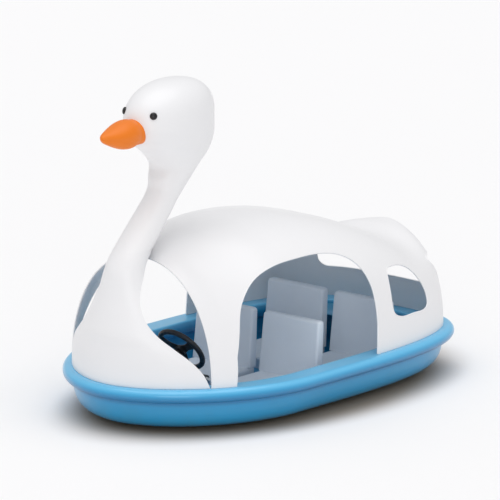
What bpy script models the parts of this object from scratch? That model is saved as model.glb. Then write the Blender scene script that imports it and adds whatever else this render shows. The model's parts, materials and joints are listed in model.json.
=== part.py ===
"""Four-seat pedal boat with a swan body.

Metres.  X points to port, Y points aft and Z points up.  The origin lies on the
ground, under the middle of the boat's box.  The lower hull is a plan outline made
of two superellipse halves (bow and stern), and everything on the hull is worked
out from that outline.
"""
import math

import bmesh
import bpy
from mathutils import Matrix, Vector

# ---------------------------------------------------------------- driving sizes
GAP = 0.0005                 # clearance between pieces that touch

# plan outline, at the line where the white mouldings stand on the rim
HALF_BEAM = 0.832
MAX_BEAM_Y = -0.40
BOW_LENGTH = 1.02
STERN_LENGTH = 1.82
BOW_POWER = 1.85
STERN_POWER = 3.7
AROUND = 44                  # points round the outline, a multiple of four

RIM_TOP = 0.310
RIM_BOTTOM = 0.220
RIM_OUT = 0.062              # how far the rim stands out past the outline
RIM_IN = 0.120               # and how far its side deck reaches in
HULL_BOTTOM = 0.025
HULL_WALL = 0.012
LINER_WALL = 0.006
FLOOR = 0.0455

# drive
CRANK_Y = -0.88
CRANK_Z = 0.200
CRANK_THROW = 0.110
SHAFT_R = 0.010
RIDER_X = 0.285              # middle of each rider's pair of pedals
PADDLE_R = 0.170
PADDLE_HALF_WIDTH = 0.090
WELL_HALF_WIDTH = 0.106
WELL_HALF_LENGTH = 0.188
WELL_WALL = 0.012
WELL_TOP = 0.180

# steering
WHEEL_CENTRE = Vector((0.0, -0.677, 0.400))
WHEEL_TILT = math.radians(55.0)      # the column leans this far from upright
WHEEL_R = 0.162
HELM_DROP = 0.0775                   # wheel centre to the flat that carries the helm
RUDDER_Y = 1.19
TUNNEL_HALF_WIDTH = 0.115
TUNNEL_FRONT = 1.02
TUNNEL_TOP = 0.140
TILLER_R = 0.090
ROD_Z = 0.2125

# seats
SEAT_X = 0.284
SEAT_HALF_WIDTH = 0.2375
SEAT_TOP = 0.522
PAN_TOP = 0.130
PAN_DEPTH = 0.43
ROW_Y = {"front": 0.040, "rear": 0.750}   # front face of the backrest at the pan
BACK_LEAN = 0.045
BACK_THICK = 0.062

# swan and canopy
FOOT_Z = RIM_TOP + GAP
SHELL = 0.008
SIDES = (("port", 1.0), ("starboard", -1.0))


# ---------------------------------------------------------------- helpers
def clear_scene():
    for obj in list(bpy.data.objects):
        bpy.data.objects.remove(obj, do_unlink=True)


def material(name, colour, roughness, metallic=0.0):
    mat = bpy.data.materials.new(name)
    mat.use_nodes = True
    shader = mat.node_tree.nodes["Principled BSDF"]
    shader.inputs["Base Color"].default_value = (*colour, 1.0)
    shader.inputs["Roughness"].default_value = roughness
    shader.inputs["Metallic"].default_value = metallic
    mat.diffuse_color = (*colour, 1.0)
    return mat


def place(name, bm, mat, pivot=(0.0, 0.0, 0.0), smooth=False):
    """Turn a bmesh in world coordinates into an object whose origin is the pivot."""
    bmesh.ops.recalc_face_normals(bm, faces=bm.faces)
    bmesh.ops.translate(bm, verts=bm.verts, vec=-Vector(pivot))
    mesh = bpy.data.meshes.new(name)
    bm.to_mesh(mesh)
    bm.free()
    if mat:
        mesh.materials.append(mat)
    if smooth:
        mesh.shade_smooth()
        mesh.set_sharp_from_angle(angle=math.radians(35.0))
    obj = bpy.data.objects.new(name, mesh)
    obj.location = pivot
    bpy.context.collection.objects.link(obj)
    return obj


def cutter(name, bm):
    obj = place("cutter_" + name, bm, None)
    obj.hide_render = True
    obj.display_type = "WIRE"
    return obj


def boolean(obj, tool, operation="DIFFERENCE"):
    mod = obj.modifiers.new(tool.name, "BOOLEAN")
    mod.object = tool
    mod.operation = operation
    mod.solver = "EXACT"


def loft(loops, cap_start=True, cap_end=True, cyclic=False, bm=None):
    """Skin between closed loops of equal length."""
    bm = bm or bmesh.new()
    rings = [[bm.verts.new(p) for p in loop] for loop in loops]
    count = len(rings[0])
    pairs = list(zip(rings, rings[1:]))
    if cyclic:
        pairs.append((rings[-1], rings[0]))
    for low, high in pairs:
        for i in range(count):
            j = (i + 1) % count
            bm.faces.new((low[i], low[j], high[j], high[i]))
    if cap_start and not cyclic:
        bm.faces.new(reversed(rings[0]))
    if cap_end and not cyclic:
        bm.faces.new(rings[-1])
    return bm


def box(x0, x1, y0, y1, z0, z1):
    lower = [(x0, y0, z0), (x1, y0, z0), (x1, y1, z0), (x0, y1, z0)]
    return loft([lower, [(x, y, z1) for x, y, z in lower]])


def frame_matrix(origin, axis):
    """Local Z along the axis, local X kept as near to world X as it can be."""
    z = Vector(axis).normalized()
    x = Vector((1.0, 0.0, 0.0))
    if abs(z.dot(x)) > 0.9:
        x = Vector((0.0, 1.0, 0.0))
    y = z.cross(x).normalized()
    x = y.cross(z)
    return Matrix.Translation(origin) @ Matrix((x, y, z)).transposed().to_4x4()


def disc(radius, height, sides):
    return [Vector((radius * math.cos(2 * math.pi * i / sides),
                    radius * math.sin(2 * math.pi * i / sides), height)) for i in range(sides)]


def turned(profile, origin, axis, sides=20, bored=False):
    """Turn (radius, height) points about an axis; bored closes the loop as a ring."""
    to_world = frame_matrix(origin, axis)
    loops = [[to_world @ p for p in disc(r, h, sides)] for r, h in profile]
    return loft(loops, cyclic=bored)


def sleeve(inner, outer, start, end, origin, axis, sides=20):
    profile = [(inner, start), (outer, start), (outer, end), (inner, end)]
    return turned(profile, origin, axis, sides, bored=True)


def prism(points, axis, start, end):
    """Extrude a closed outline given in the two other axes, along X, Y or Z."""
    def at(p, level):
        if axis == "X":
            return (level, p[0], p[1])
        if axis == "Y":
            return (p[0], level, p[1])
        return (p[0], p[1], level)
    return loft([[at(p, start) for p in points], [at(p, end) for p in points]])


def rounded_rect(cx, cy, half_x, half_y, radius, steps=3):
    points = []
    for sx, sy, start in ((1, 1, 0.0), (-1, 1, 0.5), (-1, -1, 1.0), (1, -1, 1.5)):
        for i in range(steps + 1):
            a = math.pi * (start + 0.5 * i / steps)
            points.append((cx + sx * (half_x - radius) + radius * math.cos(a),
                           cy + sy * (half_y - radius) + radius * math.sin(a)))
    return points


def smooth_closed(points, steps):
    """Closed Catmull-Rom curve through 2-D points."""
    result = []
    count = len(points)
    for i in range(count):
        a, b, c, d = (Vector(points[(i + k) % count]) for k in (-1, 0, 1, 2))
        for s in range(steps):
            t = s / steps
            result.append(0.5 * (2 * b + (c - a) * t + (2 * a - 5 * b + 4 * c - d) * t * t
                                 + (3 * b - a - 3 * c + d) * t ** 3))
    return [tuple(p) for p in result]


def smooth_open(points, steps):
    """Open Catmull-Rom curve through points, ends included."""
    ends = [points[0]] + list(points) + [points[-1]]
    result = []
    for i in range(1, len(ends) - 2):
        a, b, c, d = (Vector(ends[i + k]) for k in (-1, 0, 1, 2))
        for s in range(steps):
            t = s / steps
            result.append(0.5 * (2 * b + (c - a) * t + (2 * a - 5 * b + 4 * c - d) * t * t
                                 + (3 * b - a - 3 * c + d) * t ** 3))
    result.append(Vector(points[-1]))
    return result


def lookup(table, x):
    """Smooth value at x from rows (x, value), by cubic pieces through the rows."""
    if x <= table[0][0]:
        return table[0][1]
    if x >= table[-1][0]:
        return table[-1][1]
    slopes = []
    for i in range(len(table)):
        low = table[max(i - 1, 0)]
        high = table[min(i + 1, len(table) - 1)]
        slopes.append((high[1] - low[1]) / (high[0] - low[0]))
    for i in range(len(table) - 1):
        x0, y0 = table[i]
        x1, y1 = table[i + 1]
        if x <= x1:
            h = x1 - x0
            t = (x - x0) / h
            return ((1 + 2 * t) * (1 - t) ** 2 * y0 + t * (1 - t) ** 2 * h * slopes[i]
                    + t * t * (3 - 2 * t) * y1 - t * t * (1 - t) * h * slopes[i + 1])
    return table[-1][1]


def signed_power(value, power):
    return math.copysign(abs(value) ** power, value)


def outline_point(angle, inset=0.0):
    """Plan point: angle 0 is the port beam, 90 degrees the stern, 270 the bow."""
    c, s = math.cos(angle), math.sin(angle)
    aft = s >= 0.0
    power = 2.0 / (STERN_POWER if aft else BOW_POWER)
    length = (STERN_LENGTH if aft else BOW_LENGTH) - inset
    return ((HALF_BEAM - inset) * signed_power(c, power),
            MAX_BEAM_Y + length * signed_power(s, power))


def outline(inset, z, count=AROUND):
    """Closed loop round the hull, inset from the outline, at one height."""
    loop = []
    for i in range(count):
        x, y = outline_point(2 * math.pi * i / count, inset)
        loop.append(Vector((x, y, z)))
    return loop


def beam_at(y, inset=0.0):
    """Half width of the outline at a place along the boat."""
    aft = y >= MAX_BEAM_Y
    length = (STERN_LENGTH if aft else BOW_LENGTH) - inset
    power = STERN_POWER if aft else BOW_POWER
    t = min(abs(y - MAX_BEAM_Y) / length, 1.0)
    return (HALF_BEAM - inset) * (1.0 - t ** power) ** (1.0 / power)


# ---------------------------------------------------------------- hull
HULL_SECTION = [(0.0, RIM_BOTTOM - GAP), (0.008, 0.175), (0.020, 0.125), (0.040, 0.085),
                (0.075, 0.053), (0.125, 0.033), (0.185, HULL_BOTTOM), (0.45, HULL_BOTTOM)]
CAVITY_SECTION = [(0.012, 0.30), (0.012, RIM_BOTTOM), (0.0205, 0.176), (0.0325, 0.129),
                  (0.051, 0.0925), (0.084, 0.063), (0.131, 0.0445), (0.188, 0.037), (0.45, 0.037)]
LINER_OUTER = [(0.0405, RIM_BOTTOM - GAP), (0.0405, 0.171), (0.044, 0.131), (0.060, 0.096),
               (0.092, 0.068), (0.136, 0.0495), (0.190, 0.0395), (0.45, 0.0395)]
LINER_INNER = [(0.0465, 0.34), (0.0465, 0.173), (0.050, 0.134), (0.065, 0.101),
               (0.096, 0.074), (0.139, 0.0555), (0.192, FLOOR), (0.45, FLOOR)]


def outline_solid(section):
    return loft([outline(inset, z) for inset, z in section])


def build_hull(mat):
    hull = place("hull_shell", outline_solid(HULL_SECTION), mat, smooth=True)
    cavity = cutter("hull_cavity", outline_solid(CAVITY_SECTION))
    well_x = WELL_HALF_WIDTH + WELL_WALL
    well_y = WELL_HALF_LENGTH + WELL_WALL
    trunk = cutter("trunk_block", box(-well_x, well_x, CRANK_Y - well_y, CRANK_Y + well_y,
                                      0.0, WELL_TOP))
    tunnel_x = TUNNEL_HALF_WIDTH + WELL_WALL
    tunnel = cutter("tunnel_block", box(-tunnel_x, tunnel_x, TUNNEL_FRONT - WELL_WALL, 1.6,
                                        0.0, TUNNEL_TOP + WELL_WALL))
    boolean(cavity, trunk)
    boolean(cavity, tunnel)
    boolean(hull, cavity)
    well = cutter("paddle_well", box(-WELL_HALF_WIDTH, WELL_HALF_WIDTH,
                                     CRANK_Y - WELL_HALF_LENGTH, CRANK_Y + WELL_HALF_LENGTH,
                                     -0.05, 0.25))
    boolean(hull, well)
    boolean(hull, cutter("rudder_tunnel", box(-TUNNEL_HALF_WIDTH, TUNNEL_HALF_WIDTH,
                                              TUNNEL_FRONT, 1.7, -0.05, TUNNEL_TOP)))
    boolean(hull, cutter("rudder_hole", turned([(0.0185, 0.10), (0.0185, 0.20)],
                                               (0.0, RUDDER_Y, 0.0), (0, 0, 1), 16)))
    boolean(hull, cutter("drain_hole", turned([(0.0145, -0.08), (0.0145, 0.08)],
                                              drain_place(), (0, 1, 0), 16)))
    return hull


def build_liner(mat):
    liner = place("cockpit_liner", outline_solid(LINER_OUTER), mat, smooth=True)
    boolean(liner, cutter("liner_cavity", outline_solid(LINER_INNER)))
    clear = 0.0015
    well_x = WELL_HALF_WIDTH + WELL_WALL + clear
    well_y = WELL_HALF_LENGTH + WELL_WALL + clear
    boolean(liner, cutter("liner_well", box(-well_x, well_x, CRANK_Y - well_y, CRANK_Y + well_y,
                                            0.0, 0.2)))
    tunnel_x = TUNNEL_HALF_WIDTH + WELL_WALL + clear
    boolean(liner, cutter("liner_tunnel", box(-tunnel_x, tunnel_x,
                                              TUNNEL_FRONT - WELL_WALL - clear, 1.7,
                                              0.0, TUNNEL_TOP + WELL_WALL + clear)))
    return liner


def build_rim(mat):
    """Fat rounded bumper: a superellipse section carried round the outline."""
    centre = 0.5 * (RIM_IN - RIM_OUT)
    half_width = 0.5 * (RIM_IN + RIM_OUT)
    half_height = 0.5 * (RIM_TOP - RIM_BOTTOM)
    middle = 0.5 * (RIM_TOP + RIM_BOTTOM)
    flat = 0.35                  # share of the width that is level at the top and bottom
    quarter = [(1.0, 0.0), (0.93, 0.62), (0.72, 0.90), (flat, 1.0)]
    section = quarter + [(-x, z) for x, z in reversed(quarter)]
    section += [(-x, -z) for x, z in quarter[1:]] + [(x, -z) for x, z in reversed(quarter[1:])]
    loops = [outline(centre + half_width * x, middle + half_height * z) for x, z in section]
    return place("bumper_rim", loft(loops, cyclic=True), mat, smooth=True)


def build_runners(mat):
    for side, sign in SIDES:
        x = 0.38 * sign
        profile = [(-0.80, 0.0), (0.92, 0.0), (0.96, HULL_BOTTOM - GAP), (-0.84, HULL_BOTTOM - GAP)]
        place("keel_runner_" + side, prism(profile, "X", x - 0.03, x + 0.03), mat)


def drain_place():
    x = 0.36
    inset = 0.010
    y = MAX_BEAM_Y + (STERN_LENGTH - inset) * (1 - (x / (HALF_BEAM - inset)) ** STERN_POWER) ** (
        1 / STERN_POWER)
    return Vector((x, y, 0.165))


def build_drain_plug(mat):
    profile = [(0.013, -0.018), (0.013, 0.006), (0.020, 0.006), (0.020, 0.013), (0.009, 0.013),
               (0.008, 0.022)]
    place("drain_plug", turned(profile, drain_place(), (0, 1, 0), 16), mat, smooth=True)


# ---------------------------------------------------------------- swan
# height above the rim, middle along the boat, half width, half length
SWAN_SECTIONS = [
    (0.000, MAX_BEAM_Y, HALF_BEAM, BOW_LENGTH),
    (0.100, -0.570, 0.745, 0.850),
    (0.180, -0.735, 0.650, 0.690),
    (0.262, -0.880, 0.545, 0.550),
    (0.337, -0.990, 0.435, 0.450),
    (0.440, -1.085, 0.330, 0.335),
    (0.548, -1.160, 0.240, 0.235),
    (0.620, -1.195, 0.190, 0.185),
    (0.730, -1.215, 0.145, 0.145),
    (0.800, -1.190, 0.132, 0.132),
    (0.856, -1.150, 0.126, 0.126),
    (0.956, -1.055, 0.122, 0.122),
    (1.077, -0.940, 0.116, 0.116),
    (1.140, -0.880, 0.113, 0.113),
    (1.206, -0.825, 0.120, 0.122),
    (1.268, -0.790, 0.137, 0.145),
    (1.350, -0.748, 0.166, 0.162),
    (1.430, -0.738, 0.200, 0.237),
    (1.520, -0.768, 0.228, 0.318),
    (1.620, -0.800, 0.238, 0.360),
    (1.720, -0.795, 0.232, 0.348),
    (1.800, -0.785, 0.206, 0.300),
    (1.860, -0.775, 0.162, 0.230),
    (1.895, -0.770, 0.108, 0.150),
    (1.910, -0.768, 0.045, 0.062),
]
NECK_JOINT = 1.206           # height of the neck-to-head joint above the rim
# aft edge of the chest, in side view: place along the boat, height above the rim
CHEST_EDGE = [(-1.070, -0.060), (-1.076, 0.000), (-1.108, 0.090), (-1.158, 0.170),
              (-1.232, 0.260), (-1.288, 0.345), (-1.314, 0.440), (-1.306, 0.540),
              (-1.270, 0.630), (-1.205, 0.730), (-1.130, 0.815), (-1.000, 0.870)]
SWAN_AROUND = 28


def swan_section(height):
    middle = lookup([(r[0], r[1]) for r in SWAN_SECTIONS], height)
    width = lookup([(r[0], r[2]) for r in SWAN_SECTIONS], height)
    length = lookup([(r[0], r[3]) for r in SWAN_SECTIONS], height)
    return middle, width, length


def swan_loop(height, inset=0.0, drop=0.0):
    middle, width, length = swan_section(height)
    bow_like = max(0.0, 1.0 - height / 0.25)
    power = 2.0 / (2.0 + (BOW_POWER - 2.0) * bow_like)
    loop = []
    for i in range(SWAN_AROUND):
        a = 2 * math.pi * (i + 0.5) / SWAN_AROUND
        loop.append(Vector(((width - inset) * signed_power(math.cos(a), power),
                            middle + (length - inset) * signed_power(math.sin(a), power),
                            FOOT_Z + height - drop)))
    return loop


def build_swan_body(mat):
    heights = [0.0, 0.09, 0.18, 0.262, 0.337, 0.44, 0.54, 0.63, 0.72, 0.80, 0.88, 0.97, 1.06,
               1.14, NECK_JOINT - GAP]
    body = place("swan_body", loft([swan_loop(h) for h in heights]), mat, smooth=True)
    edge = [(y, FOOT_Z + h) for y, h in CHEST_EDGE]
    back = edge + [(1.6, edge[-1][1]), (1.6, edge[0][1])]
    boolean(body, cutter("chest_back", prism(back, "X", -1.2, 1.2)))
    inner = [swan_loop(0.0, SHELL, 0.05)] + [swan_loop(h, SHELL) for h in heights]
    inner.append(swan_loop(NECK_JOINT, SHELL, -0.05))
    hollow = cutter("chest_hollow", loft(inner))
    forward = [(y - SHELL, z) for y, z in edge]
    forward[-1] = (edge[-1][0] - SHELL, edge[-1][1] + SHELL)
    wall = forward + [(1.6, forward[-1][1]), (1.6, forward[0][1])]
    boolean(hollow, cutter("chest_wall", prism(wall, "X", -1.3, 1.3)))
    boolean(body, hollow)
    return body


def build_swan_head(mat):
    heights = [NECK_JOINT, 1.268, 1.35, 1.43, 1.52, 1.62, 1.72, 1.80, 1.86, 1.895, 1.91]
    outer = [swan_loop(h) for h in heights]
    inner = [swan_loop(h, SHELL) for h in heights[:-2]]
    inner.append(swan_loop(heights[-2], 0.02, SHELL))
    bm = loft(list(reversed(inner)) + outer)
    return place("swan_head", bm, mat, smooth=True)


# beak: distance ahead of its root, half width, half height, drop of its middle
BEAK_SECTIONS = [(0.00, 0.090, 0.086, 0.000), (0.05, 0.104, 0.096, 0.000),
                 (0.11, 0.104, 0.090, 0.001), (0.17, 0.088, 0.071, 0.001),
                 (0.225, 0.063, 0.050, -0.002), (0.270, 0.037, 0.032, -0.006),
                 (0.295, 0.012, 0.012, -0.010)]
BEAK_ROOT = Vector((0.0, -1.165, FOOT_Z + 1.622))
BEAK_SIDES = 16


def build_beak(mat, head_skin):
    loops = []
    for ahead, half_width, half_height, drop in BEAK_SECTIONS:
        loops.append([BEAK_ROOT + Vector((half_width * math.cos(2 * math.pi * i / BEAK_SIDES),
                                          -ahead,
                                          half_height * math.sin(2 * math.pi * i / BEAK_SIDES)
                                          - drop)) for i in range(BEAK_SIDES)])
    root = [p + Vector((0.0, 0.10, 0.0)) for p in loops[0]]
    beak = place("beak", loft([root] + loops), mat, smooth=True)
    boolean(beak, head_skin)
    return beak


def head_envelope(margin):
    """Closed skin standing proud of the head, which trims what is fixed on it."""
    heights = [1.35, 1.43, 1.52, 1.62, 1.72, 1.80, 1.86, 1.895]
    return loft([swan_loop(h, -margin) for h in heights])


EYE_X = 0.124
EYE_Z = FOOT_Z + 1.735
EYE_R = 0.024


def eye_place(sign):
    """Centre of the eye on the head's surface and the surface's outward direction."""
    middle, width, length = swan_section(EYE_Z - FOOT_Z)
    y = middle - length * math.sqrt(1.0 - (EYE_X / width) ** 2)
    normal = Vector((EYE_X / width ** 2, (y - middle) / length ** 2, 0.0)).normalized()
    normal = (normal + Vector((0.0, 0.0, 0.28))).normalized()
    normal.x *= sign
    return Vector((EYE_X * sign, y, EYE_Z)), normal


def build_eyes(mat, head_skin):
    for side, sign in SIDES:
        centre, normal = eye_place(sign)
        profile = [(EYE_R, -0.015), (EYE_R, 0.005), (EYE_R * 0.94, 0.009), (EYE_R * 0.76, 0.013),
                   (EYE_R * 0.40, 0.0165), (EYE_R * 0.05, 0.0175)]
        eye = place("eye_" + side, turned(profile, centre, normal, 16), mat, smooth=True)
        boolean(eye, head_skin)


# ---------------------------------------------------------------- canopy
CANOPY_FRONT = -1.065
# place along the boat and height of the roof's middle above the rim
ROOF_LINE = [(-1.065, 0.785), (-0.95, 0.828), (-0.80, 0.872), (-0.60, 0.898), (-0.42, 0.907),
             (-0.17, 0.905), (0.20, 0.862), (0.52, 0.783), (0.79, 0.676), (0.95, 0.602),
             (1.07, 0.568), (1.16, 0.564), (1.28, 0.581), (1.42, 0.588)]
# squareness of each arch: 2 is an ellipse, more is boxier
ROOF_POWER = [(-1.065, 2.15), (-0.90, 1.80), (-0.72, 1.80), (-0.45, 2.2), (0.0, 2.6), (0.70, 2.8), (1.10, 2.7),
              (1.42, 2.5)]
STERN_LEAN = 0.03            # how far the stern wall leans in, per metre of height
DOOR = [(-0.935, 0.00), (-0.903, 0.20), (-0.815, 0.42), (-0.730, 0.535), (-0.595, 0.640),
        (-0.430, 0.695), (-0.200, 0.712), (0.000, 0.705), (0.170, 0.665), (0.280, 0.580),
        (0.330, 0.440), (0.335, 0.20), (0.325, 0.00)]
QUARTER_WINDOW = [(0.505, 0.35), (0.515, 0.24), (0.60, 0.195), (0.74, 0.19), (0.88, 0.185),
                  (0.935, 0.225), (0.925, 0.33), (0.86, 0.43), (0.76, 0.49), (0.64, 0.515),
                  (0.54, 0.50)]
STERN_WINDOW_X = 0.52
STERN_WINDOW_Z = (0.195, 0.440)


def canopy_stations():
    """Places along the boat: even steps, then by angle round the stern corner."""
    even = [CANOPY_FRONT + (0.85 - CANOPY_FRONT) * i / 12 for i in range(12)]
    start = math.asin(((0.85 - MAX_BEAM_Y) / STERN_LENGTH) ** (STERN_POWER / 2))
    corner = []
    steps = 9
    for j in range(steps + 1):
        a = start + (0.5 * math.pi - start) * (1 - (1 - j / steps) ** 1.7)
        corner.append(min(MAX_BEAM_Y + STERN_LENGTH * math.sin(a) ** (2 / STERN_POWER),
                          MAX_BEAM_Y + STERN_LENGTH))
    return even + corner


def canopy_section(y, count=18):
    """One arch across the boat, from the port foot over the roof to starboard."""
    half = beam_at(y)
    top = lookup(ROOF_LINE, y)
    power = 2.0 / lookup(ROOF_POWER, y)
    lean = STERN_LEAN * min(max((y - 0.80) / 0.55, 0.0), 1.0) ** 1.5
    points = []
    for i in range(count + 1):
        a = math.pi * i / count
        z = top * math.sin(a) ** power if 0 < i < count else 0.0
        points.append(Vector((half * signed_power(math.cos(a), power), y - lean * z,
                              FOOT_Z + GAP + z)))
    return points


def build_canopy(mat):
    bm = bmesh.new()
    rows = [[bm.verts.new(p) for p in canopy_section(y)] for y in canopy_stations()]
    for low, high in zip(rows, rows[1:]):
        for i in range(len(low) - 1):
            bm.faces.new((low[i], low[i + 1], high[i + 1], high[i]))
    bmesh.ops.remove_doubles(bm, verts=bm.verts, dist=0.0001)
    bmesh.ops.dissolve_degenerate(bm, edges=bm.edges, dist=0.0001)
    canopy = place("canopy", bm, mat, smooth=True)
    shell = canopy.modifiers.new("shell", "SOLIDIFY")
    shell.thickness = SHELL
    shell.offset = -1.0
    lift = FOOT_Z
    arch = smooth_open(DOOR[1:-1], 3)
    door = [(DOOR[0][0] - 0.002, lift - 0.1), *[(p[0], lift + p[1]) for p in arch],
            (DOOR[-1][0], lift - 0.1)]
    boolean(canopy, cutter("doors", prism(door, "X", -1.1, 1.1)))
    window = [(y, lift + z) for y, z in smooth_closed(QUARTER_WINDOW, 2)]
    boolean(canopy, cutter("quarter_windows", prism(window, "X", -1.1, 1.1)))
    low, high = STERN_WINDOW_Z
    opening = rounded_rect(0.0, lift + 0.5 * (low + high), STERN_WINDOW_X, 0.5 * (high - low), 0.06, 4)
    boolean(canopy, cutter("stern_window", prism(opening, "Y", 1.02, 1.7)))
    return canopy


# ---------------------------------------------------------------- seats
def seat_loop(x, y0, y1, half_width, radius, z):
    return [(px, py, z) for px, py in rounded_rect(x, 0.5 * (y0 + y1), half_width, 0.5 * (y1 - y0),
                                                   radius, 2)]


def build_pan(name, x, y_face, mat):
    wall = 0.006
    front = y_face - PAN_DEPTH
    rear = y_face + 0.085
    half = SEAT_HALF_WIDTH
    base = FLOOR + GAP
    outer = [seat_loop(x, front + 0.012, rear, half - 0.010, 0.03, base),
             seat_loop(x, front, rear, half, 0.03, PAN_TOP - 0.016),
             seat_loop(x, front + 0.005, rear, half - 0.004, 0.03, PAN_TOP - 0.004),
             seat_loop(x, front + 0.016, rear, half - 0.014, 0.03, PAN_TOP)]
    inner = [seat_loop(x, front + 0.020, rear - wall, half - 0.020, 0.024, PAN_TOP - wall),
             seat_loop(x, front + 0.020, rear - wall, half - 0.020, 0.024, base)]
    return place(name, loft(inner + outer), mat, smooth=True)


def build_back(name, x, y_face, mat):
    """Leaning hollow slab, a little narrower and thinner at its top."""
    def slab(z, shrink=0.0, inset=0.0):
        t = (z - PAN_TOP) / (SEAT_TOP - PAN_TOP)
        y0 = y_face + BACK_LEAN * t + shrink
        y1 = y_face + BACK_THICK + 0.018 * (1 - t) + BACK_LEAN * t - shrink
        half = SEAT_HALF_WIDTH + 0.008 * (1 - t) - shrink
        return seat_loop(x, y0 + inset, y1 - inset, half - inset, 0.018 - 0.5 * inset, z)
    base = PAN_TOP + GAP
    outer = [slab(base), slab(SEAT_TOP - 0.016), slab(SEAT_TOP - 0.005, 0.004),
             slab(SEAT_TOP, 0.014)]
    inner = [slab(SEAT_TOP - 0.012, 0.010, 0.005), slab(base, 0.0, 0.006)]
    return place(name, loft(inner + outer), mat, smooth=True)


def build_seats(grey, foam):
    for row, y_face in ROW_Y.items():
        for side, sign in SIDES:
            x = SEAT_X * sign
            build_pan(f"seat_pan_{row}_{side}", x, y_face, grey)
            build_back(f"seat_back_{row}_{side}", x, y_face, grey)
            block = box(x - 0.19, x + 0.19, y_face - PAN_DEPTH + 0.05, y_face + 0.05,
                        FLOOR + GAP, PAN_TOP - 0.02)
            place(f"buoyancy_foam_{row}_{side}", block, foam)


# ---------------------------------------------------------------- drive
INNER_WEB_X = 0.165
OUTER_WEB_X = 0.405
PIN_HALF = 0.042             # half length of a pedal
BEND_R = 0.014
INNER_STAND_X = 0.137
OUTER_STAND_X = 0.438
SHAFT_END_X = 0.456


def bent_path(points, radius, steps=3):
    """Polyline whose corners are rounded by arcs of the given radius."""
    path = [Vector(points[0])]
    for a, b, c in zip(points, points[1:], points[2:]):
        a, b, c = Vector(a), Vector(b), Vector(c)
        towards_a = (a - b).normalized()
        towards_c = (c - b).normalized()
        reach = radius / math.tan(0.5 * towards_a.angle(towards_c))
        start = b + towards_a * reach
        end = b + towards_c * reach
        centre = b + (towards_a + towards_c).normalized() * (
            radius / math.sin(0.5 * towards_a.angle(towards_c)))
        for i in range(steps + 1):
            spoke = (start - centre).normalized().slerp((end - centre).normalized(), i / steps)
            path.append(centre + spoke * radius)
    path.append(Vector(points[-1]))
    return path


def tube(name, points, radius, mat, resolution, pivot=(0.0, 0.0, 0.0)):
    curve = bpy.data.curves.new(name, "CURVE")
    curve.dimensions = "3D"
    curve.bevel_depth = radius
    curve.bevel_resolution = resolution
    curve.use_fill_caps = True
    curve.resolution_u = 1
    curve.render_resolution_u = 0
    spline = curve.splines.new("POLY")
    spline.points.add(len(points) - 1)
    for target, point in zip(spline.points, points):
        target.co = (*(Vector(point) - Vector(pivot)), 1.0)
    curve.materials.append(mat)
    obj = bpy.data.objects.new(name, curve)
    obj.location = pivot
    bpy.context.collection.objects.link(obj)
    return obj


def build_crankshaft(mat):
    r = CRANK_THROW
    half = [(SHAFT_END_X, 0), (OUTER_WEB_X, 0), (OUTER_WEB_X, r), (RIDER_X, r), (RIDER_X, -r),
            (INNER_WEB_X, -r), (INNER_WEB_X, 0)]
    other = [(-x, -z) for x, z in reversed(half)]
    corners = [(x, CRANK_Y, CRANK_Z + z) for x, z in half + other]
    path = bent_path(corners, BEND_R)
    return tube("crankshaft", path, SHAFT_R, mat, 2, (0.0, CRANK_Y, CRANK_Z))


def pedal_places():
    """Name and centre of each pedal's pin."""
    inner_x = 0.5 * (RIDER_X + INNER_WEB_X)
    outer_x = 0.5 * (RIDER_X + OUTER_WEB_X)
    return (("pedal_port_outer", outer_x, 1), ("pedal_port_inner", inner_x, -1),
            ("pedal_starboard_inner", -inner_x, 1), ("pedal_starboard_outer", -outer_x, -1))


def build_pedals(mat):
    for name, x, throw in pedal_places():
        centre = Vector((x, CRANK_Y, CRANK_Z + throw * CRANK_THROW))
        outer = rounded_rect(0.0, 0.0, 0.034, 0.0145, 0.008, 3)
        inner = [(p.x, p.y) for p in disc(SHAFT_R + 0.0008, 0.0, len(outer))]
        inner = inner[1:] + inner[:1]
        loops = []
        for ring, reach in ((inner, -PIN_HALF), (outer, -PIN_HALF), (outer, PIN_HALF),
                            (inner, PIN_HALF)):
            loops.append([centre + Vector((reach, a, b)) for a, b in ring])
        place(name, loft(loops, cyclic=True), mat, centre, smooth=True)


def build_paddle_wheel(mat):
    """Eight flat vanes on a hub, stiffened by two side discs."""
    centre = Vector((0.0, CRANK_Y, CRANK_Z))
    vanes = 8
    hub_r = 0.030
    half = 0.0030
    star = []
    for k in range(vanes):
        a = 2 * math.pi * (k + 0.5) / vanes
        out = Vector((math.cos(a), math.sin(a)))
        across = Vector((-out.y, out.x))
        root = math.sqrt(hub_r ** 2 - half ** 2)
        for reach, offset in ((root, -half), (PADDLE_R, -half), (PADDLE_R, half), (root, half)):
            p = out * reach + across * offset
            star.append((CRANK_Y + p.x, CRANK_Z + p.y))
    wheel = place("paddle_wheel", prism(star, "X", -PADDLE_HALF_WIDTH + 0.004,
                                        PADDLE_HALF_WIDTH - 0.004), mat, centre)
    for side, sign in SIDES:
        inner = PADDLE_HALF_WIDTH - 0.012
        ring = turned([(0.115, inner * sign), (0.115, (inner + 0.005) * sign)], centre, (1, 0, 0), 24)
        boolean(wheel, cutter("paddle_disc_" + side, ring), "UNION")
    bore = turned([(SHAFT_R + GAP, -0.2), (SHAFT_R + GAP, 0.2)], centre, (1, 0, 0), 16)
    boolean(wheel, cutter("paddle_bore", bore))
    return wheel


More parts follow.
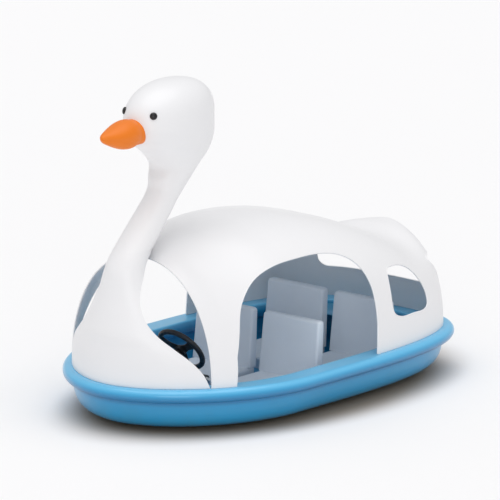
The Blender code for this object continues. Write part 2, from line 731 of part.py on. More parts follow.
def build_drive_small(steel, plastic, rubber):
    centre = Vector((0.0, CRANK_Y, CRANK_Z))
    for side, sign in SIDES:
        collar = sleeve(SHAFT_R + GAP, 0.022, 0.0900 * sign, 0.1030 * sign, centre, (1, 0, 0), 16)
        place("shaft_collar_" + side, collar, steel, centre, smooth=True)
        seal = turned([(SHAFT_R + GAP, 0.1070), (0.0140, 0.1070), (0.0140, 0.1185),
                       (0.0190, 0.1185), (0.0190, 0.1215), (SHAFT_R + GAP, 0.1215)],
                      centre, (sign, 0, 0), 16, bored=True)
        place("shaft_seal_" + side, seal, rubber, smooth=True)
        for rank, x in (("inner", INNER_STAND_X), ("outer", OUTER_STAND_X)):
            build_stand(f"bearing_stand_{side}_{rank}", x * sign, steel)
            bush = sleeve(SHAFT_R + GAP, 0.0155, -0.0085, 0.0085,
                          Vector((x * sign, CRANK_Y, CRANK_Z)), (1, 0, 0), 16)
            place(f"bearing_bush_{side}_{rank}", bush, plastic, smooth=True)


def build_stand(name, x, mat):
    """Plate that stands on the floor and holds one bush at the shaft."""
    base = FLOOR + GAP
    head_r = 0.028
    arch = [(CRANK_Y + head_r * math.cos(a), CRANK_Z + head_r * math.sin(a))
            for a in (math.pi * i / 8 for i in range(9))]
    profile = [(CRANK_Y - 0.05, base), (CRANK_Y + 0.05, base), (CRANK_Y + 0.05, base + 0.010),
               *arch, (CRANK_Y - 0.05, base + 0.010)]
    stand = place(name, prism(profile, "X", x - 0.007, x + 0.007), mat)
    bore = turned([(0.0160, -0.03), (0.0160, 0.03)], (x, CRANK_Y, CRANK_Z), (1, 0, 0), 16)
    boolean(stand, cutter(name + "_bore", bore))
    return stand


# outline of the paddle cover beside the shaft: along the boat and above the shaft
COVER_OUTLINE = [(-0.200, 0.070), (-0.155, 0.145), (-0.080, 0.195), (0.020, 0.205),
                 (0.1166, 0.1734), (0.1884, 0.0710), (0.200, 0.040)]


def build_paddle_cover(mat):
    half = WELL_HALF_WIDTH + WELL_WALL
    base = WELL_TOP + GAP - CRANK_Z
    rim = [(-0.200, base)] + COVER_OUTLINE + [(0.200, base)]
    outer = [(CRANK_Y + y, CRANK_Z + z) for y, z in rim]
    cover = place("paddle_cover", prism(outer, "X", -half, half), mat)
    wall = 0.006
    inner = []
    for y, z in rim[1:-1]:
        shrink = 1.0 - wall / math.hypot(y, z)
        inner.append((CRANK_Y + y * shrink, CRANK_Z + z * shrink))
    inner = [(inner[0][0], 0.1)] + inner + [(inner[-1][0], 0.1)]
    boolean(cover, cutter("cover_hollow", prism(inner, "X", -half + wall, half - wall)))
    slot_r = 0.0145
    slot = [(CRANK_Y + slot_r, 0.1)]
    slot += [(CRANK_Y + slot_r * math.cos(a), CRANK_Z + slot_r * math.sin(a))
             for a in (math.pi * i / 8 for i in range(9))]
    slot.append((CRANK_Y - slot_r, 0.1))
    boolean(cover, cutter("cover_slot", prism(slot, "X", -0.2, 0.2)))
    return cover


# ---------------------------------------------------------------- steering
COLUMN = Vector((0.0, math.sin(WHEEL_TILT), math.cos(WHEEL_TILT)))


def build_steering_wheel(black, grey, steel):
    to_world = frame_matrix(WHEEL_CENTRE, COLUMN)
    grip_r = 0.0180
    loops = []
    for k in range(28):
        a = 2 * math.pi * k / 28
        ring = []
        for i in range(8):
            b = 2 * math.pi * i / 8
            reach = WHEEL_R + grip_r * math.cos(b)
            ring.append(to_world @ Vector((reach * math.cos(a), reach * math.sin(a),
                                           grip_r * math.sin(b))))
        loops.append(ring)
    wheel = place("steering_wheel", loft(loops, cyclic=True), black, WHEEL_CENTRE, smooth=True)
    hub = cutter("wheel_hub", turned([(0.040, -0.026), (0.040, 0.004), (0.034, 0.008)],
                                     WHEEL_CENTRE, COLUMN, 20))
    for k in range(3):
        a = math.pi * (0.5 + 2 * k / 3)
        spoke = rounded_rect(0.5 * WHEEL_R, 0.0, 0.5 * WHEEL_R, 0.034, 0.010, 1)
        turn = Matrix.Rotation(a, 4, "Z")
        bm = loft([[to_world @ (turn @ Vector((x, y, z))) for x, y in spoke]
                   for z in (-0.008, 0.003)])
        boolean(wheel, cutter(f"wheel_spoke_{k}", bm), "UNION")
    boolean(wheel, hub, "UNION")
    bore = turned([(0.0092, -0.1), (0.0092, 0.1)], WHEEL_CENTRE, COLUMN, 16)
    boolean(wheel, cutter("wheel_bore", bore))
    cap = turned([(0.028, 0.0085), (0.028, 0.0125), (0.020, 0.0165)], WHEEL_CENTRE, COLUMN, 20)
    place("steering_cap", cap, grey, WHEEL_CENTRE, smooth=True)
    shaft = turned([(0.0086, -0.068), (0.0086, 0.006)], WHEEL_CENTRE, COLUMN, 14)
    place("steering_shaft", shaft, steel, WHEEL_CENTRE, smooth=True)


def build_helm(mat):
    """Drum housing that the steering shaft turns in."""
    base = 0.001 - HELM_DROP
    profile = [(0.0095, -0.0290), (0.020, -0.0290), (0.024, -0.0400), (0.044, -0.0440),
               (0.048, -0.0480), (0.048, -0.0700), (0.056, -0.0715), (0.056, base),
               (0.0095, base)]
    helm = turned(profile, WHEEL_CENTRE, COLUMN, 24, bored=True)
    place("helm_housing", helm, mat, smooth=True)


CABLE_R = 0.005
CABLE_ROUTE = [(-0.0545, -0.7245, 0.3667), (-0.075, -0.7240, 0.3660), (-0.105, -0.7080, 0.3560),
               (-0.131, -0.6730, 0.3150), (-0.136, -0.6450, 0.2450), (-0.126, -0.6200, 0.1600),
               (-0.098, -0.5900, 0.0950), (-0.058, -0.5400, 0.0600), (-0.022, -0.4700, 0.0520),
               (0.000, -0.3900, 0.0520), (0.000, -0.2000, 0.0520), (0.000, 0.1000, 0.0520),
               (0.000, 0.4000, 0.0520), (0.000, 0.6500, 0.0520), (0.004, 0.7800, 0.0530),
               (0.028, 0.8500, 0.0700), (0.060, 0.8950, 0.1150), (0.082, 0.9250, 0.1700),
               (0.090, 0.9600, 0.2080), (0.090, 0.9985, ROD_Z)]
SLEEVE_START = 0.9990
SLEEVE_END = 1.1000


def build_cable(black, steel, grey):
    route = smooth_open([Vector(p) for p in CABLE_ROUTE], 3)
    tube("steering_cable", route, CABLE_R, black, 2)
    axis_point = Vector((TILLER_R, 0.0, ROD_Z))
    guide = sleeve(0.0058, 0.0085, SLEEVE_START, SLEEVE_END, axis_point, (0, 1, 0), 14)
    place("cable_sleeve", guide, steel, smooth=True)
    bracket_y = 1.050
    profile = [(TILLER_R - 0.022, TUNNEL_TOP + WELL_WALL + GAP),
               (TILLER_R + 0.022, TUNNEL_TOP + WELL_WALL + GAP),
               (TILLER_R + 0.016, ROD_Z + 0.012), (TILLER_R - 0.016, ROD_Z + 0.012)]
    bracket = place("cable_bracket", prism(profile, "Y", bracket_y - 0.006, bracket_y + 0.006), grey)
    hole = turned([(0.0090, 0.9), (0.0090, 1.2)], axis_point, (0, 1, 0), 14)
    boolean(bracket, cutter("bracket_bore", hole))
    for k, y in enumerate((-0.15, 0.50)):
        clip = [(-0.016, FLOOR + GAP), (0.016, FLOOR + GAP), (0.016, FLOOR + 0.003)]
        clip += [(0.0085 * math.cos(a), 0.0520 + 0.0085 * math.sin(a))
                 for a in (math.pi * i / 6 for i in range(7))]
        clip += [(-0.016, FLOOR + 0.003)]
        piece = place(f"cable_clip_{k + 1}", prism(clip, "Y", y - 0.006, y + 0.006), grey)
        slot = [(0.0057, 0.0), (0.0057, 0.0520)]
        slot += [(0.0057 * math.cos(a), 0.0520 + 0.0057 * math.sin(a))
                 for a in (math.pi * i / 6 for i in range(1, 6))]
        slot += [(-0.0057, 0.0520), (-0.0057, 0.0)]
        boolean(piece, cutter(f"clip_slot_{k + 1}", prism(slot, "Y", y - 0.02, y + 0.02)))


def build_rod(mat):
    """Sliding rod with an upright pin that works the tiller's slot."""
    pivot = Vector((TILLER_R, RUDDER_Y, ROD_Z))
    rod = place("steering_rod", turned([(0.0050, -0.130), (0.0050, 0.0)], pivot, (0, 1, 0), 12),
                mat, pivot, smooth=True)
    eye = turned([(0.0098, -0.0058), (0.0098, 0.0058)], pivot, (0, 0, 1), 16)
    boolean(rod, cutter("rod_eye", eye), "UNION")
    pin = turned([(0.0050, -0.0200), (0.0050, 0.0090)], pivot, (0, 0, 1), 12)
    boolean(rod, cutter("rod_pin", pin), "UNION")
    return rod


def build_rudder(blade_mat, steel, plastic):
    axis = Vector((0.0, RUDDER_Y, 0.0))
    half = [(0.000, -0.066), (0.010, -0.055), (0.0175, -0.020), (0.0185, 0.010), (0.012, 0.090),
            (0.004, 0.165)]
    section = [(x, RUDDER_Y + y) for x, y in half] + [(-x, RUDDER_Y + y) for x, y in reversed(half[1:])]
    blade = place("rudder_blade", prism(section, "Z", 0.034, 0.128), blade_mat, axis, smooth=True)
    bore = turned([(SHAFT_R + GAP, 0.060), (SHAFT_R + GAP, 0.20)], axis, (0, 0, 1), 14)
    boolean(blade, cutter("blade_bore", bore))
    stock = turned([(SHAFT_R, 0.0605), (SHAFT_R, 0.2220)], axis, (0, 0, 1), 14)
    place("rudder_stock", stock, steel, axis, smooth=True)
    guide = turned([(SHAFT_R + 0.0006, 0.1330), (0.0180, 0.1330), (0.0180, TUNNEL_TOP + WELL_WALL + GAP),
                    (0.0300, TUNNEL_TOP + WELL_WALL + GAP), (0.0300, 0.1575), (0.0180, 0.1600),
                    (0.0180, 0.1900), (SHAFT_R + 0.0006, 0.1900)], axis, (0, 0, 1), 18, bored=True)
    place("rudder_tube", guide, plastic, smooth=True)
    arm = rounded_rect(0.5 * (TILLER_R + 0.006), RUDDER_Y, 0.5 * (TILLER_R + 0.066), 0.020, 0.019, 4)
    tiller = place("tiller_arm", prism(arm, "Z", 0.1960, 0.2040), steel, axis)
    hole = turned([(SHAFT_R + GAP, 0.18), (SHAFT_R + GAP, 0.22)], axis, (0, 0, 1), 14)
    boolean(tiller, cutter("tiller_bore", hole))
    slot = rounded_rect(0.0965, RUDDER_Y, 0.0165, 0.0080, 0.0079, 4)
    boolean(tiller, cutter("tiller_slot", prism(slot, "Z", 0.18, 0.22)))


def build_aft_deck(mat):
    """Lift-off deck over the steering gear, inside the rim at the stern."""
    front = 1.010
    inset = RIM_IN + 0.0095
    arc = [(p.x, p.y) for p in outline(inset, 0.0) if p.y > front]
    edge = beam_at(front, inset) - 0.015
    points = [(edge, front)] + arc + [(-edge, front)]
    place("aft_deck", prism(points, "Z", 0.282, 0.290), mat)


# ---------------------------------------------------------------- the boat
def main():
    clear_scene()
    blue = material("hull_blue", (0.055, 0.33, 0.68), 0.38)
    white = material("swan_white", (0.86, 0.86, 0.88), 0.35)
    grey = material("seat_grey", (0.42, 0.46, 0.50), 0.45)
    orange = material("beak_orange", (0.87, 0.22, 0.02), 0.40)
    black = material("soft_black", (0.02, 0.02, 0.024), 0.45)
    gloss_black = material("eye_black", (0.01, 0.01, 0.012), 0.12)
    steel = material("stainless_steel", (0.56, 0.57, 0.58), 0.28, 1.0)
    galvanised = material("galvanised_steel", (0.46, 0.48, 0.50), 0.45, 1.0)
    nylon = material("nylon_white", (0.80, 0.79, 0.74), 0.40)
    rubber = material("seal_rubber", (0.03, 0.03, 0.03), 0.70)
    foam = material("foam_cream", (0.82, 0.76, 0.60), 0.90)
    paddle = material("paddle_grey", (0.14, 0.16, 0.18), 0.50)

    build_hull(blue)
    build_liner(blue)
    build_rim(blue)
    build_runners(black)
    build_drain_plug(black)
    build_swan_body(white)
    build_swan_head(white)
    head_skin = cutter("head_skin", head_envelope(0.0015))
    build_beak(orange, head_skin)
    build_eyes(gloss_black, head_skin)
    build_canopy(white)
    build_seats(grey, foam)
    build_crankshaft(steel)
    build_pedals(black)
    build_paddle_wheel(paddle)
    build_drive_small(galvanised, nylon, rubber)
    build_paddle_cover(blue)
    build_steering_wheel(black, grey, steel)
    build_helm(black)
    build_cable(black, steel, grey)
    build_rod(steel)
    build_rudder(blue, steel, nylon)
    build_aft_deck(blue)


main()
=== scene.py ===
"""Looks of the swan pedal boat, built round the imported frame.

Metres, in the frame's own axes: X port, Y aft, Z up, origin on the ground.
"""
import json
import math

import bmesh
import bpy
from mathutils import Matrix, Vector


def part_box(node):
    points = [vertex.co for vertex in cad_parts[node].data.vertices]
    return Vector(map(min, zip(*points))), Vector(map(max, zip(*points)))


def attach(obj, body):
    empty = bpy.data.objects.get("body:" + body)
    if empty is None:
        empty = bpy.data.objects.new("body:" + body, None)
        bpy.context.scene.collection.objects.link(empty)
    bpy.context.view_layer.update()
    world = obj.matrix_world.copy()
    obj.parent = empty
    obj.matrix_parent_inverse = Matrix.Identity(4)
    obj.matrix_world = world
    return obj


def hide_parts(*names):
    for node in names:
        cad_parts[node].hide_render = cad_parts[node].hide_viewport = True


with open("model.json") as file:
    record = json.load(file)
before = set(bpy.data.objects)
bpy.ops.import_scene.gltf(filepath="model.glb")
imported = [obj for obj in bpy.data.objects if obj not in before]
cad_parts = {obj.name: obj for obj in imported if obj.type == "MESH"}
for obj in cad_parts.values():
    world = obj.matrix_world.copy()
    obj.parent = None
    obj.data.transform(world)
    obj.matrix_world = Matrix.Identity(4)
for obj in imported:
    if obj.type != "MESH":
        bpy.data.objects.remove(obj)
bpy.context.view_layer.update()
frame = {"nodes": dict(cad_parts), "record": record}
NODES = frame["nodes"]
BODY_OF = {n: body for body, names in frame["record"]["behaviour"]["bodies"].items() for n in names}
SLOT_OF = {s["node"]: s["material_slot"] for s in frame["record"]["subparts"]}
SIDES = (("port", 1.0), ("starboard", -1.0))

# ------------------------------------------------------------ sizes shared with the frame
HALF_BEAM = 0.832
MAX_BEAM_Y = -0.40
BOW_LENGTH, STERN_LENGTH = 1.02, 1.82
BOW_POWER, STERN_POWER = 1.85, 3.7
RIM_LOW, RIM_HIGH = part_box("bumper_rim")
RIM_TOP, RIM_BOTTOM = RIM_HIGH.z, RIM_LOW.z
RIM_OUT, RIM_IN = 0.062, 0.120
FOOT_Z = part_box("swan_body")[0].z
SHELL = 0.008
GAP = 0.0005


# ------------------------------------------------------------ materials
class Shader:
    """Small helper that strings procedural nodes into a Principled material."""

    def __init__(self, name, colour, roughness, metallic=0.0):
        self.mat = bpy.data.materials.new(name)
        self.mat.use_nodes = True
        self.tree = self.mat.node_tree
        self.out = self.tree.nodes["Principled BSDF"]
        self.out.inputs["Base Color"].default_value = (*colour, 1.0)
        self.out.inputs["Roughness"].default_value = roughness
        self.out.inputs["Metallic"].default_value = metallic
        self.mat.diffuse_color = (*colour, 1.0)
        self.coords = self.tree.nodes.new("ShaderNodeTexCoord").outputs["Object"]
        self.normal = None

    def link(self, a, b):
        self.tree.links.new(a, b)

    def node(self, kind, **values):
        made = self.tree.nodes.new(kind)
        for key, value in values.items():
            setattr(made, key, value)
        return made

    def noise(self, scale, detail=4.0, rough=0.55, stretch=None):
        texture = self.node("ShaderNodeTexNoise")
        texture.inputs["Scale"].default_value = scale
        texture.inputs["Detail"].default_value = detail
        texture.inputs["Roughness"].default_value = rough
        source = self.coords
        if stretch:
            mapping = self.node("ShaderNodeMapping")
            mapping.inputs["Scale"].default_value = stretch
            self.link(source, mapping.inputs["Vector"])
            source = mapping.outputs["Vector"]
        self.link(source, texture.inputs["Vector"])
        return texture.outputs["Fac"]

    def spread(self, value, low, high, to_low, to_high):
        remap = self.node("ShaderNodeMapRange", interpolation_type="SMOOTHSTEP")
        for key, number in (("From Min", low), ("From Max", high), ("To Min", to_low), ("To Max", to_high)):
            remap.inputs[key].default_value = number
        self.link(value, remap.inputs["Value"])
        return remap.outputs["Result"]

    def height(self, low, high, to_low, to_high):
        split = self.node("ShaderNodeSeparateXYZ")
        self.link(self.coords, split.inputs["Vector"])
        return self.spread(split.outputs["Z"], low, high, to_low, to_high)

    def times(self, a, b):
        maths = self.node("ShaderNodeMath", operation="MULTIPLY")
        self.link(a, maths.inputs[0])
        self.link(b, maths.inputs[1])
        return maths.outputs["Value"]

    def tint(self, factor, colour):
        """Lay a second colour over what is there, by the factor."""
        mix = self.node("ShaderNodeMix", data_type="RGBA")
        socket = self.out.inputs["Base Color"]
        if socket.is_linked:
            self.link(socket.links[0].from_socket, mix.inputs["A"])
        else:
            mix.inputs["A"].default_value = socket.default_value
        mix.inputs["B"].default_value = (*colour, 1.0)
        self.link(factor, mix.inputs["Factor"])
        self.link(mix.outputs["Result"], socket)

    def rough(self, factor):
        self.link(factor, self.out.inputs["Roughness"])

    def bump(self, value, distance, strength=1.0):
        made = self.node("ShaderNodeBump")
        made.inputs["Distance"].default_value = distance
        made.inputs["Strength"].default_value = strength
        self.link(value, made.inputs["Height"])
        if self.normal:
            self.link(self.normal, made.inputs["Normal"])
        self.normal = made.outputs["Normal"]
        self.link(self.normal, self.out.inputs["Normal"])

    def edges(self, radius, colour, amount):
        """Rubbed, lighter edges, from the difference a rounded normal makes."""
        bevel = self.node("ShaderNodeBevel", samples=4)
        bevel.inputs["Radius"].default_value = radius
        geometry = self.node("ShaderNodeNewGeometry")
        dot = self.node("ShaderNodeVectorMath", operation="DOT_PRODUCT")
        self.link(bevel.outputs["Normal"], dot.inputs[0])
        self.link(geometry.outputs["Normal"], dot.inputs[1])
        self.tint(self.spread(dot.outputs["Value"], 0.75, 0.995, amount, 0.0), colour)


def gelcoat(name, colour, shade, roughness, soil, coat=0.35):
    """Sprayed gel coat: clear gloss, faint patchiness, water film low down and weather streaks above."""
    s = Shader(name, colour, roughness)
    s.tint(s.spread(s.noise(1.6, 3.0), 0.35, 0.75, 0.0, 0.55), shade)
    film = s.spread(s.noise(5.0, 3.0, 0.5), 0.40, 0.75, 0.1, 1.0)
    s.tint(s.times(s.height(0.02, 0.36, 0.30, 0.0), film), soil)
    streaks = s.spread(s.noise(3.0, 3.0, 0.5, (3.0, 3.0, 0.35)), 0.52, 0.85, 0.0, 0.08)
    s.tint(s.times(streaks, s.height(0.3, 1.6, 1.0, 0.35)), soil)
    s.out.inputs["Coat Weight"].default_value = coat
    s.out.inputs["Coat Roughness"].default_value = 0.12
    return s


def hull_gelcoat(name):
    """Blue gel coat, with a painted highlight on the crown of the rim and painted shade round its underside.
    """
    s = gelcoat(name, (0.018, 0.322, 0.620), (0.016, 0.298, 0.585), 0.30, (0.045, 0.255, 0.42))
    # painted highlight: paler blue across the crown of the rim, where overhead light falls
    s.tint(s.height(RIM_TOP - 0.048, RIM_TOP - 0.010, 0.0, 0.80), (0.150, 0.560, 0.870))
    # painted shade: darker blue in the groove under the rim
    shade_rising = s.height(RIM_BOTTOM - 0.040, RIM_BOTTOM - 0.004, 0.0, 0.85)
    shade_falling = s.height(RIM_BOTTOM + 0.018, RIM_BOTTOM + 0.058, 1.0, 0.0)
    s.tint(s.times(shade_rising, shade_falling), (0.012, 0.170, 0.390))
    return s


def lighter(colour, gain, lift):
    return tuple(min(1.0, c * gain + lift) for c in colour)


def darker(colour, gain):
    return tuple(c * gain for c in colour)


def moulded(name, colour, shade, roughness, grain=420.0, depth=0.00025):
    """Rotomoulded plastic: fine pebbled grain, dusty patches and paler rubbed edges."""
    s = Shader(name, colour, roughness)
    s.tint(s.spread(s.noise(6.0, 4.0), 0.35, 0.75, 0.0, 0.6), shade)
    s.tint(s.spread(s.noise(70.0, 6.0, 0.7), 0.58, 0.80, 0.0, 0.35), lighter(colour, 1.25, 0.02))
    s.edges(0.006, lighter(colour, 1.3, 0.03), 0.45)
    s.rough(s.spread(s.noise(30.0, 5.0), 0.3, 0.75, roughness - 0.06, roughness + 0.10))
    s.bump(s.noise(grain, 3.0), depth, 0.8)
    return s


def metal(name, colour, roughness, brushed):
    """Bare metal with darker patches; the brushing runs along the axis of the smallest scale."""
    s = Shader(name, colour, roughness, 1.0)
    s.tint(s.spread(s.noise(14.0, 6.0, 0.65), 0.45, 0.78, 0.0, 0.5), darker(colour, 0.62))
    s.rough(s.spread(s.noise(60.0, 4.0, 0.6, brushed), 0.3, 0.7, roughness - 0.08, roughness + 0.14))
    s.bump(s.noise(500.0, 2.0, 0.5, brushed), 0.00006, 0.6)
    return s


def foam(name, colour):
    """Closed-cell foam: small round cells with darker walls."""
    s = Shader(name, colour, 0.9)
    cells = s.node("ShaderNodeTexVoronoi")
    cells.inputs["Scale"].default_value = 320.0
    s.link(s.coords, cells.inputs["Vector"])
    s.tint(s.spread(cells.outputs["Distance"], 0.0, 0.6, 0.5, 0.0), darker(colour, 0.7))
    s.bump(cells.outputs["Distance"], 0.0008, 0.8)
    return s


# each slot's recipe with its colour, second colour, roughness and what else that recipe takes
RECIPES = {
    "swan_white": (gelcoat, (0.862, 0.860, 0.872), (0.846, 0.845, 0.860), 0.42, (0.76, 0.75, 0.72), 0.12),
    "hull_blue": (hull_gelcoat,),
    "beak_orange": (gelcoat, (0.86, 0.205, 0.001), (0.80, 0.180, 0.001), 0.50, (0.70, 0.17, 0.004), 0.0),
    "seat_grey": (moulded, (0.780, 0.850, 0.930), (0.750, 0.815, 0.895), 0.50),
    "soft_black": (moulded, (0.020, 0.020, 0.023), (0.032, 0.032, 0.036), 0.42, 620.0, 0.00015),
    "eye_black": (gelcoat, (0.004, 0.004, 0.005), (0.006, 0.005, 0.005), 0.28, (0.01, 0.01, 0.01), 0.0),
    "foam_cream": (foam, (0.80, 0.73, 0.56)),
    "stainless_steel": (metal, (0.58, 0.59, 0.60), 0.26, (1.0, 8.0, 8.0)),
    "galvanised_steel": (metal, (0.47, 0.49, 0.51), 0.46, (1.0, 1.0, 1.0)),
    "nylon_white": (moulded, (0.74, 0.73, 0.68), (0.68, 0.67, 0.61), 0.42, 700.0, 0.0001),
    "seal_rubber": (moulded, (0.025, 0.025, 0.026), (0.045, 0.044, 0.042), 0.70, 500.0, 0.0002),
    "paddle_grey": (moulded, (0.12, 0.14, 0.16), (0.10, 0.115, 0.13), 0.48),
}
MATS = {slot: recipe(slot, *values).mat for slot, (recipe, *values) in RECIPES.items()}
for node_name, node_object in NODES.items():
    node_object.data.materials.clear()
    node_object.data.materials.append(MATS[SLOT_OF[node_name]])


# ------------------------------------------------------------ mesh helpers
def make(name, bm, slot, node=None, replaced=(), angle=32.0):
    """Turn a bmesh into a shown piece that rides on the body of the node it stands for."""
    bmesh.ops.recalc_face_normals(bm, faces=bm.faces)
    mesh = bpy.data.meshes.new(name)
    bm.to_mesh(mesh)
    bm.free()
    obj = bpy.data.objects.new(name, mesh)
    bpy.context.scene.collection.objects.link(obj)
    if slot:
        mesh.materials.append(MATS[slot])
    mesh.shade_smooth()
    mesh.set_sharp_from_angle(angle=math.radians(angle))
    if node:
        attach(obj, BODY_OF[node])
        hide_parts(node, *replaced)
    return obj


def settle(obj, angle=32.0):
    """Apply every modifier and set the shading of the result."""
    bpy.context.view_layer.update()
    graph = bpy.context.evaluated_depsgraph_get()
    mesh = bpy.data.meshes.new_from_object(obj.evaluated_get(graph))
    obj.modifiers.clear()
    obj.data = mesh
    mesh.shade_smooth()
    mesh.set_sharp_from_angle(angle=math.radians(angle))
    return obj


def tool(bm):
    """Unshown solid for cut(), which removes it."""
    return make("tool", bm, None)


def cut(obj, cutters):
    """Take the cutters out of the piece, one after another."""
    for k, cutter in enumerate(cutters):
        modifier = obj.modifiers.new(f"cut_{k}", "BOOLEAN")
        modifier.object = cutter
        modifier.operation = "DIFFERENCE"
        modifier.solver = "EXACT"
    settle(obj)
    for cutter in cutters:
        bpy.data.objects.remove(cutter, do_unlink=True)
    return obj


def round_edges(obj, width, segments, limit):
    """Round every edge that turns by more than the limit, in degrees."""
    modifier = obj.modifiers.new("round", "BEVEL")
    modifier.width = width
    modifier.segments = segments
    modifier.limit_method = "ANGLE"
    modifier.angle_limit = math.radians(limit)
    modifier.harden_normals = False
    return settle(obj, 50.0)


def loft(loops, cap_end=True, cyclic=False, bm=None):
    """Skin over closed loops of equal length; cyclic joins the last to the first."""
    bm = bm or bmesh.new()
    rings = [[bm.verts.new(p) for p in loop] for loop in loops]
    count = len(rings[0])
    pairs = list(zip(rings, rings[1:]))
    if cyclic:
        pairs.append((rings[-1], rings[0]))
    for low, high in pairs:
        for i in range(count):
            j = (i + 1) % count
            bm.faces.new((low[i], low[j], high[j], high[i]))
    if not cyclic:
        bm.faces.new(reversed(rings[0]))
    if cap_end and not cyclic:
        bm.faces.new(rings[-1])
    return bm


def sheet(rows):
    """Open skin through rows of points of equal length."""
    bm = bmesh.new()
    grid = [[bm.verts.new(p) for p in row] for row in rows]
    for low, high in zip(grid, grid[1:]):
        for i in range(len(low) - 1):
            bm.faces.new((low[i], low[i + 1], high[i + 1], high[i]))
    return bm


def block(x0, x1, y0, y1, z0, z1):
    lower = [(x0, y0, z0), (x1, y0, z0), (x1, y1, z0), (x0, y1, z0)]
    return loft([lower, [(x, y, z1) for x, y, z in lower]])


def frame_matrix(origin, axis):
    """Places a shape drawn round Z so that its Z runs along the axis."""
    z = Vector(axis).normalized()
    x = Vector((1.0, 0.0, 0.0))
    if abs(z.dot(x)) > 0.9:
        x = Vector((0.0, 1.0, 0.0))
    y = z.cross(x).normalized()
    x = y.cross(z)
    return Matrix.Translation(origin) @ Matrix((x, y, z)).transposed().to_4x4()


def circle(sides, start=0.0):
    """Cosine and sine of evenly spaced angles; start is a part of one step."""
    angles = [2 * math.pi * (i + start) / sides for i in range(sides)]
    return [(math.cos(a), math.sin(a)) for a in angles]


def turned(profile, origin, axis, sides, bored=False, bm=None):
    """Turned piece from (radius, height) pairs."""
    to_world = frame_matrix(origin, axis)
    loops = [[to_world @ Vector((r * c, r * s, h)) for c, s in circle(sides)] for r, h in profile]
    return loft(loops, cyclic=bored, bm=bm)


def prism(points, axis, start, end):
    """Straight extrusion of a flat outline along X or Y."""
    def at(p, level):
        return (level, p[0], p[1]) if axis == "X" else (p[0], level, p[1])
    return loft([[at(p, start) for p in points], [at(p, end) for p in points]])


def rounded_rect(cx, cy, half_x, half_y, radius, steps):
    """Rectangle with round corners, anticlockwise."""
    points = []
    for sx, sy, start in ((1, 1, 0.0), (-1, 1, 0.5), (-1, -1, 1.0), (1, -1, 1.5)):
        for i in range(steps + 1):
            a = math.pi * (start + 0.5 * i / steps)
            points.append((cx + sx * (half_x - radius) + radius * math.cos(a),
                           cy + sy * (half_y - radius) + radius * math.sin(a)))
    return points


def spline(points, steps, closed=False):
    """Catmull-Rom curve through the points."""
    pts = [Vector(p) for p in points]
    count = len(pts)
    result = []
    for i in range(count if closed else count - 1):
        if closed:
            a, b, c, d = (pts[(i + k) % count] for k in (-1, 0, 1, 2))
        else:
            a, b, c, d = (pts[min(max(i + k, 0), count - 1)] for k in (-1, 0, 1, 2))
        for s in range(steps):
            t = s / steps
            result.append(0.5 * (2 * b + (c - a) * t + (2 * a - 5 * b + 4 * c - d) * t * t
                                 + (3 * b - a - 3 * c + d) * t ** 3))
    if not closed:
        result.append(pts[-1])
    return result


def lookup(table, x):
    """Smooth value from a table of (x, value) pairs, level beyond both ends."""
    if x <= table[0][0]:
        return table[0][1]
    if x >= table[-1][0]:
        return table[-1][1]
    slopes = []
    for i in range(len(table)):
        low = table[max(i - 1, 0)]
        high = table[min(i + 1, len(table) - 1)]
        slopes.append((high[1] - low[1]) / (high[0] - low[0]))
    for i in range(len(table) - 1):
        x0, y0 = table[i]
        x1, y1 = table[i + 1]
        if x <= x1:
            h = x1 - x0
            t = (x - x0) / h
            return ((1 + 2 * t) * (1 - t) ** 2 * y0 + t * (1 - t) ** 2 * h * slopes[i]
                    + t * t * (3 - 2 * t) * y1 - t * t * (1 - t) * h * slopes[i + 1])
    return table[-1][1]


def tube_mesh(path, radius, sides=12, closed=False, bm=None):
    """Round tube along a path of points; the rings don't twist from one to the next."""
    points = [Vector(p) for p in path]
    count = len(points)
    loops = []
    side = None
    for i, p in enumerate(points):
        before = points[i - 1] if (i or closed) else p
        after = points[(i + 1) % count] if (i < count - 1 or closed) else p
        along = (after - before).normalized()
        if side is None:
            side = along.orthogonal().normalized()
        side = (side - along * side.dot(along)).normalized()
        other = along.cross(side)
        loops.append([p + (side * c + other * s) * radius for c, s in circle(sides)])
    if closed:
        # the last ring may be turned against the first, so the nearest start is taken
        first = loops[0][0]
        shift = min(range(sides), key=lambda k: (loops[-1][k] - first).length)
        loops[-1] = loops[-1][shift:] + loops[-1][:shift]
    return loft(loops, cyclic=closed, bm=bm)


def soften(node, width):
    """Copy of a hard CAD piece with its edges broken, as the real piece's are."""
    bm = bmesh.new()
    bm.from_mesh(NODES[node].data)
    bmesh.ops.remove_doubles(bm, verts=bm.verts, dist=0.00002)
    bmesh.ops.dissolve_limit(bm, angle_limit=math.radians(1.0), verts=bm.verts, edges=bm.edges)
    return round_edges(make(node + "_finish", bm, SLOT_OF[node], node), width, 2, 35.0)


# ------------------------------------------------------------ hull outline
def signed_power(value, power):
    """Power that keeps the sign, as a superellipse needs."""
    return math.copysign(abs(value) ** power, value)


def outline_point(angle, inset=0.0):
    """Plan of the hull: half a superellipse ahead of the widest place and half a squarer one aft of it."""
    c, s = math.cos(angle), math.sin(angle)
    aft = s >= 0.0
    power = 2.0 / (STERN_POWER if aft else BOW_POWER)
    length = (STERN_LENGTH if aft else BOW_LENGTH) - inset
    return ((HALF_BEAM - inset) * signed_power(c, power), MAX_BEAM_Y + length * signed_power(s, power))


